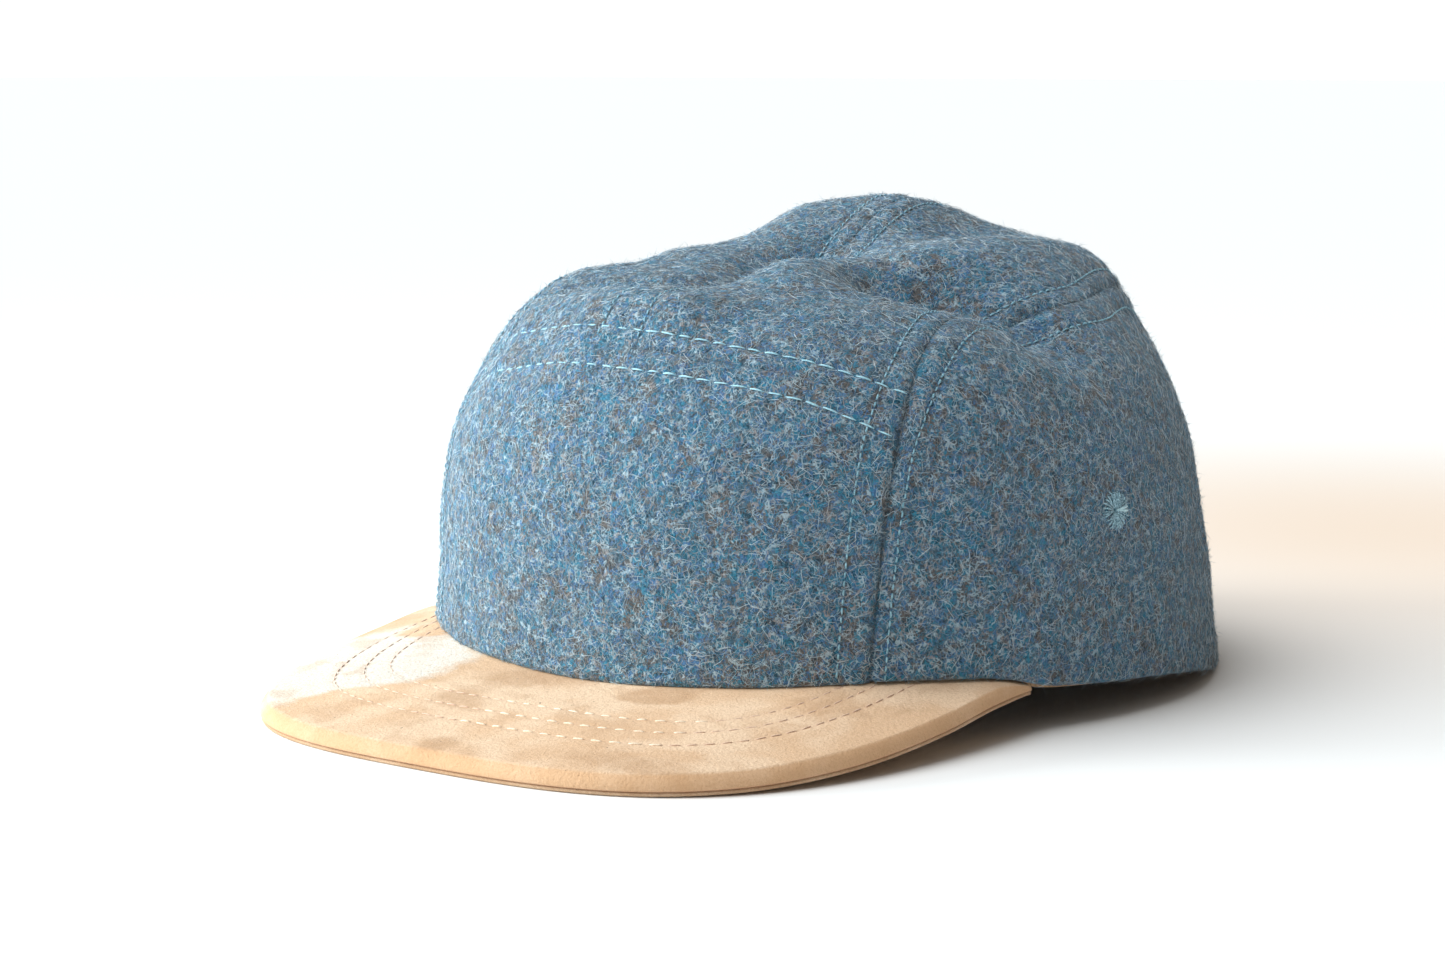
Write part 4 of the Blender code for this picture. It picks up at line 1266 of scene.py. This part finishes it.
def makeEyeletTree():
    tree, enter, leave = newTree("threadsRoundHole", (
        ("Count", "Int"), ("Thread", "Object"), ("Uneven", "Float"), ("Seed", "Int"), ("Finish", "Material")))
    points = tree.nodes.new("GeometryNodePoints")
    wire(tree, enter, "Count", points, "Count")
    index = tree.nodes.new("GeometryNodeInputIndex")
    step = addNode(tree, "ShaderNodeMath", operation="DIVIDE")
    step.inputs[0].default_value = 2 * math.pi
    tree.links.new(given(enter.outputs, "Count"), step.inputs[1])
    angle = addNode(tree, "ShaderNodeMath", operation="MULTIPLY")
    tree.links.new(given(index.outputs, "Index"), angle.inputs[0])
    tree.links.new(step.outputs[0], angle.inputs[1])
    turn = tree.nodes.new("ShaderNodeCombineXYZ")
    tree.links.new(angle.outputs[0], turn.inputs["Z"])
    jitter = randomVector(tree, (-1.0, -0.6, -1.0), (1.0, 0.9, 1.0), enter)
    scaled = addNode(tree, "ShaderNodeVectorMath", operation="SCALE")
    tree.links.new(given(jitter.outputs, "Value"), scaled.inputs[0])
    wire(tree, enter, "Uneven", scaled, "Scale")
    total = addNode(tree, "ShaderNodeVectorMath", operation="ADD")
    tree.links.new(turn.outputs[0], total.inputs[0])
    tree.links.new(scaled.outputs[0], total.inputs[1])
    rotation = tree.nodes.new("FunctionNodeEulerToRotation")
    tree.links.new(total.outputs[0], rotation.inputs[0])
    thread = tree.nodes.new("GeometryNodeObjectInfo")
    wire(tree, enter, "Thread", thread, "Object")
    size = randomVector(tree, (0.84, 0.70, 0.7), (1.06, 1.25, 1.5), enter)
    place = tree.nodes.new("GeometryNodeInstanceOnPoints")
    wire(tree, points, "Points", place, "Points")
    wire(tree, thread, "Geometry", place, "Instance")
    wire(tree, rotation, "Rotation", place, "Rotation")
    wire(tree, size, "Value", place, "Scale")
    endTree(tree, enter, leave, given(place.outputs, "Instances"))
    return tree


def makeFibreTree():
    tree, enter, leave = newTree("fibresOnWool", (
        ("Density", "Float"), ("Fibres", "Collection"), ("Tilt", "Vector"), ("Smallest", "Float"),
        ("Largest", "Float"), ("Seed", "Int"), ("Finish", "Material")))
    keep = addNode(tree, "GeometryNodeInputNamedAttribute", data_type="FLOAT")
    keep.inputs["Name"].default_value = "keep"
    thinned = addNode(tree, "ShaderNodeMath", operation="MULTIPLY")
    tree.links.new(given(keep.outputs, "Attribute"), thinned.inputs[0])
    tree.links.new(given(enter.outputs, "Density"), thinned.inputs[1])
    scatter = addNode(tree, "GeometryNodeDistributePointsOnFaces", distribute_method="RANDOM")
    wire(tree, enter, "Geometry", scatter, "Mesh")
    tree.links.new(thinned.outputs[0], given(scatter.inputs, "Density"))
    wire(tree, enter, "Seed", scatter, "Seed")
    spin = randomVector(tree, (-1, -1, 0), (1, 1, 2 * math.pi), enter)
    tilted = addNode(tree, "ShaderNodeVectorMath", operation="MULTIPLY")
    tree.links.new(given(spin.outputs, "Value"), tilted.inputs[0])
    wire(tree, enter, "Tilt", tilted, "Vector", 1)
    rotation = tree.nodes.new("FunctionNodeEulerToRotation")
    tree.links.new(tilted.outputs[0], rotation.inputs[0])
    turned = addNode(tree, "FunctionNodeRotateRotation", rotation_space="LOCAL")
    wire(tree, scatter, "Rotation", turned, "Rotation")
    wire(tree, rotation, "Rotation", turned, "Rotate By")
    pool = tree.nodes.new("GeometryNodeCollectionInfo")
    pool.inputs["Separate Children"].default_value = True
    pool.inputs["Reset Children"].default_value = True
    wire(tree, enter, "Fibres", pool, "Collection")
    size = addNode(tree, "FunctionNodeRandomValue", data_type="FLOAT")
    wire(tree, enter, "Smallest", size, "Min")
    wire(tree, enter, "Largest", size, "Max")
    wire(tree, enter, "Seed", size, "Seed")
    kind = addNode(tree, "FunctionNodeRandomValue", data_type="INT")
    given(kind.inputs, "Min").default_value = 0
    given(kind.inputs, "Max").default_value = fibreForm["shapes"] - 1
    wire(tree, enter, "Seed", kind, "Seed")
    place = tree.nodes.new("GeometryNodeInstanceOnPoints")
    place.inputs["Pick Instance"].default_value = True
    wire(tree, scatter, "Points", place, "Points")
    wire(tree, pool, "Instances", place, "Instance")
    wire(tree, kind, "Value", place, "Instance Index")
    wire(tree, turned, "Rotation", place, "Rotation")
    wire(tree, size, "Value", place, "Scale")
    endTree(tree, enter, leave, given(place.outputs, "Instances"))
    return tree


def runTree(name, mesh, tree, values):
    holder = bpy.data.objects.new(name, mesh)
    bpy.context.scene.collection.objects.link(holder)
    modifier = holder.modifiers.new("build", "NODES")
    modifier.node_group = tree
    for item in tree.interface.items_tree:
        if item.item_type == "SOCKET" and item.in_out == "INPUT" and item.name in values:
            modifier[item.identifier] = values[item.name]
    made = baked(holder, modifier)
    bpy.data.objects.remove(holder, do_unlink=True)
    return addPiece(name, made, values["Finish"])


def pathMesh(paths):
    # open polylines, each point with the outward direction there
    points, edges, normals, start = [], [], [], 0
    for path, outward in paths:
        count = len(path)
        points += path.tolist()
        normals.append(outward)
        edges += [(start + step, start + step + 1) for step in range(count - 1)]
        start += count
    mesh = bpy.data.meshes.new("path")
    mesh.from_pydata(points, edges, [])
    layer = mesh.attributes.new("outward", "FLOAT_VECTOR", "POINT")
    layer.data.foreach_set("vector", np.concatenate(normals).astype(np.float32).ravel())
    return mesh


# stitches: how long and thick each shows, how far apart, how high its middle stands, in millimetres
stitchForm = {
    "contrast": {"length": 3.4, "thick": 0.42, "pitch": 4.1, "arch": 0.34, "lift": 0.17,
                 "farLift": -0.14},
    "tonal": {"length": 1.25, "thick": 0.46, "pitch": 1.95, "arch": 0.28, "lift": 0.25},
    "brim": {"length": 2.5, "thick": 0.44, "pitch": 4.1, "arch": 0.10, "lift": 0.10},
    "sunk": {"length": 2.4, "thick": 0.30, "pitch": 3.6, "arch": 0.06, "lift": 0.08},
}


def liftOf(form, path):
    # a row can lie lower in the wool on the far side of the middle
    far = form.get("farLift", form["lift"])
    return np.interp(path[:, 0] / mm, (-6, 12), (far, form["lift"]))[:, None] * mm


def stitchHelper(name):
    form = stitchForm[name]
    share = np.linspace(-1, 1, 5)
    path = np.stack([share * form["length"] / 2, 0 * share, form["arch"] * (0.45 - share ** 2)], -1) * mm
    return helper(name + "Stitch", sweptThread(name + "Stitch", path,
                                               form["thick"] / 2 * mm * (1 - 0.45 * share ** 4), 6))


def makeStitches(stitchTree, brimRows):
    helpers = {name: stitchHelper(name) for name in stitchForm}

    def sew(label, thread, paths, seed, finish, slot):
        piece = runTree(label, pathMesh(paths), stitchTree, {
            "Pitch": stitchForm[thread]["pitch"] * mm, "Stitch": helpers[thread], "Seed": seed,
            "Finish": finish})
        finishPiece(piece, slot)

    for label, thread, names, finish in (
            ("frontSeamStitches", "contrast", ("upperFront", "lowerFront"), contrastThread),
            ("sideSeamStitches", "tonal", ("sideInner", "sideOuter"), tonalThread),
            ("middleSeamStitches", "tonal", ("middleLeft", "middleRight"), tonalThread)):
        form = stitchForm[thread]
        paths = [snapped(path, liftOf(form, path)) for name in names for path in rowPaths[name]]
        sew(label, thread, paths, 4, finish, "thread")
    for label, thread, finish in (("brimStitches", "brim", brimThread),
                                  ("sunkBrimStitches", "sunk", sunkThread)):
        sink = (stitchForm[thread]["lift"] - brimForm["stitchSink"]) * mm
        paths = []
        for path, normals in brimRows:
            pale = (path[:, 0] > brimForm["paleFrom"]) & (path[:, 0] < brimForm["paleTo"])
            parts = [pale] if thread == "brim" else [~pale & (path[:, 0] < 0), ~pale & (path[:, 0] > 0)]
            paths += [((path + normals * sink)[part], normals[part]) for part in parts]
        sew(label, thread, paths, 9, finish, "suede")


def standOn(mesh, place, normal, back):
    side = np.cross(normal, back)
    turned = Matrix(np.stack([back, side, normal], -1).tolist()).to_4x4()
    mesh.transform(Matrix.Translation(place) @ turned)


def eyeletThread(name, rows, thick):
    rows = np.array(rows)
    path = np.stack([rows[:, 0], 0 * rows[:, 0], rows[:, 1]], -1) * mm
    return sweptThread(name, path, rows[:, 2] * thick / 2 * mm, 6)


def turnedOver(mesh, depth):
    # half a turn round the first axis, then down to the inner face of the wool
    mesh.transform(Matrix.Translation((0, 0, -depth)) @ Matrix.Rotation(math.pi, 4, "X"))


def joinMeshes(name, meshes):
    shape = bmesh.new()
    for part in meshes:
        shape.from_mesh(part)
    mesh = bpy.data.meshes.new(name)
    shape.to_mesh(mesh)
    shape.free()
    return mesh


def makeEyelets(tree):
    form = eyeletForm
    thread = helper("eyeletThread", eyeletThread("eyeletThread", form["thread"], form["thick"]))
    for side, frameOf in eyeletPlaces.items():
        outside = runTree("outside", bpy.data.meshes.new("none"), tree, {
            "Count": form["threads"], "Thread": thread, "Uneven": 0.09, "Seed": 3, "Finish": satinThread})
        inside = runTree("inside", bpy.data.meshes.new("none"), tree, {
            "Count": form["threads"] // 2, "Thread": thread, "Uneven": 0.05, "Seed": 5,
            "Finish": satinThread})
        turnedOver(inside.data, crownForm["wool"])
        mesh = joinMeshes("eyelet" + side, (outside.data, inside.data))
        for spare in (outside, inside):
            bpy.data.objects.remove(spare, do_unlink=True)
        standOn(mesh, *frameOf)
        finishPiece(addPiece("eyelet" + side, mesh, satinThread), "thread", "eyelet_" + side.lower())
        parts = []
        for index in range(form["knotThreads"]):
            part = eyeletThread("part", form["knot"], form["thick"])
            angle = math.radians((index - (form["knotThreads"] - 1) / 2) * form["knotFan"])
            part.transform(Matrix.Rotation(angle, 4, "Z"))
            parts.append(part)
        knot = joinMeshes("eyeletKnot" + side, parts)
        standOn(knot, *frameOf)
        finishPiece(addPiece("eyeletKnot" + side, knot, knotThread), "thread")


# loose fibres of the wool: thickness and length in millimetres, how many on each square centimetre
fibreForm = {
    "shapes": 8,
    "long": {"length": 3.8, "thick": 0.070, "curl": 1.2, "arch": 0.34, "knees": (-0.17, 0.18)},
    "short": {"length": 2.5, "thick": 0.082, "curl": 0.8, "arch": 0.26, "knees": (0.03,)},
}
fibreKinds = {
    "woolFibresPale": {"shape": "long", "color": (0.72, 0.84, 0.90), "each": 20, "tilt": 0.20,
                       "sizes": (0.5, 1.4), "seed": 21},
    "woolFibresGrey": {"shape": "long", "color": (0.36, 0.40, 0.44), "each": 12, "tilt": 0.20,
                       "sizes": (0.5, 1.3), "seed": 26},
    "woolStrays": {"shape": "long", "color": (0.29, 0.39, 0.46), "each": 21, "tilt": 1.15,
                   "sizes": (0.45, 1.25), "seed": 25},
    "woolFibresBlue": {"shape": "short", "color": (0.12, 0.37, 0.60), "each": 30, "tilt": 0.18,
                       "sizes": (0.6, 1.5), "seed": 22},
    "woolFibresTeal": {"shape": "short", "color": (0.020, 0.075, 0.115), "each": 31, "tilt": 0.16,
                       "sizes": (0.6, 1.5), "seed": 23},
    "woolFibresBrown": {"shape": "short", "color": (0.20, 0.168, 0.150), "each": 16, "tilt": 0.16,
                        "sizes": (0.6, 1.4), "seed": 24},
}


def makeFibreShapes(kind):
    # thin curled spindles of three sides: a point, a ring at each knee and a point
    form = fibreForm[kind]
    pool = bpy.data.collections.new(kind + "Fibres")
    rng = np.random.default_rng(12)
    share = np.array([-0.5, *form["knees"], 0.5])
    angle = np.radians([90, 210, 330])
    for index in range(fibreForm["shapes"]):
        curl = rng.uniform(-1, 1) * form["curl"]
        sway = rng.uniform(-0.5, 0.5) * form["curl"]
        rise = rng.uniform(-0.6, 1.6)
        across = 0.6 * (np.where(np.abs(share) < 0.5, -0.4 * curl - sway * np.sign(share), curl))
        lift = np.interp(share, [-0.5, -0.17, 0.18, 0.5], [-0.5, 0.6, 0.9, rise]) * form["arch"]
        points = np.stack([share * form["length"], across, lift], -1) * mm
        ring = form["thick"] / 2 * mm * np.stack([0 * angle, np.cos(angle), np.sin(angle)], -1)
        vertices = [points[0], *np.concatenate([knee + ring for knee in points[1:-1]]), points[-1]]
        faces = []
        for k in range(3):
            n = (k + 1) % 3
            faces.append((0, 1 + n, 1 + k))
            for start in range(1, 3 * len(points) - 8, 3):
                faces.append((start + k, start + n, start + 3 + n, start + 3 + k))
            last = 3 * (len(points) - 3) + 1
            faces.append((len(vertices) - 1, last + k, last + n))
        mesh = bpy.data.meshes.new("fibre")
        mesh.from_pydata([tuple(place) for place in vertices], [], faces)
        faceOutwards(mesh)
        pool.objects.link(bpy.data.objects.new("fibre%d" % index, mesh))
    return pool


def makeFibres(tree):
    pools = {kind: makeFibreShapes(kind) for kind in ("long", "short")}
    points, faces = joinGrids([panel["outer"] for panel in panels.values()],
                              [panel["turned"] for panel in panels.values()])
    keeps = np.concatenate([panel["keep"].ravel() for panel in panels.values()])
    for name, kind in fibreKinds.items():
        fleece = meshOf("fleece", points, faces)
        addFloat(fleece, "keep", keeps)
        each = kind["each"] * 1.0
        piece = runTree(name, fleece, tree, {
            "Density": each * 1e4, "Fibres": pools[kind["shape"]], "Tilt": (kind["tilt"], kind["tilt"], 1.0),
            "Smallest": kind["sizes"][0], "Largest": kind["sizes"][1], "Seed": kind["seed"],
            "Finish": plainFibre(name, kind["color"])})
        finishPiece(piece, "wool")
        print(name, triangles(piece), "triangles")


bandForm = {
    "wall": 0.0012,
    "height": 0.028,
    "gap": 0.0003,
    "columns": 180,
    "rows": 10,
    # how far the band shows below the rim, in millimetres, by turn from the front in degrees
    "peek": ((0, 0.7), (64, 0.7), (80, 0.3), (92, -0.5), (180, -0.5)),
}


def makeSweatband():
    form = bandForm
    turn = (np.arange(form["columns"] + 1) / form["columns"] * 2 - 1) * math.pi
    turn = turn[:-1, None]
    foot = rimHeight(turn)
    climb = np.arctan(form["height"] / (crownForm["height"] - foot)) / (math.pi / 2)
    spots = discSpot(turn, climb * np.linspace(0, 1, form["rows"]))
    normal = crownNormal(spots)
    outer = crown(spots) - (crownForm["wool"] + form["gap"]) * normal
    inner = outer - form["wall"] * normal
    peek = smooth(form["peek"], np.degrees(np.abs(turn[:, 0]))) * mm
    low = np.maximum(foot[:, 0] - peek, form["gap"])
    outer[:, 0, 2] = low
    inner[:, 0, 2] = low
    outer[:, 0] -= normal[:, 0] * form["wall"] / 4
    inner[:, 0] += normal[:, 0] * form["wall"] / 4
    hem = (outer[:, :1] + inner[:, :1]) / 2 - [0, 0, form["wall"] / 5]
    section = np.concatenate([outer, inner[:, ::-1], hem], axis=1)
    columns, around = section.shape[:2]
    at = np.arange(columns * around).reshape(columns, around)
    below = np.roll(at, -1, axis=0)
    onward = np.roll(at, -1, axis=1)
    faces = np.stack([at, onward, np.roll(below, -1, axis=1), below], -1).reshape(-1, 4)
    mesh = meshOf("sweatband", section.reshape(-1, 3), faces)
    roundIt = np.repeat(turn * crownForm["halfWidth"] / mm, around, axis=1)
    addFloat(mesh, "round", roundIt)
    addFloat(mesh, "rise", section[..., 2] / mm)
    faceOutwards(mesh)
    finishPiece(addPiece("headBand", mesh, bandTwill), "band", "sweatband")


makeSweatband()
brimTop, brimUnder, brimRows = makeBrim()
finishPiece(brimTop, "suede", "brim_top")
finishPiece(brimUnder, "under_cover", "brim_under")
print("band and brim made")
makeStitches(makeStitchTree(), brimRows)
print("stitches sewn")
makeEyelets(makeEyeletTree())
print("eyelets made")
makeFibres(makeFibreTree())
print("fibres laid")
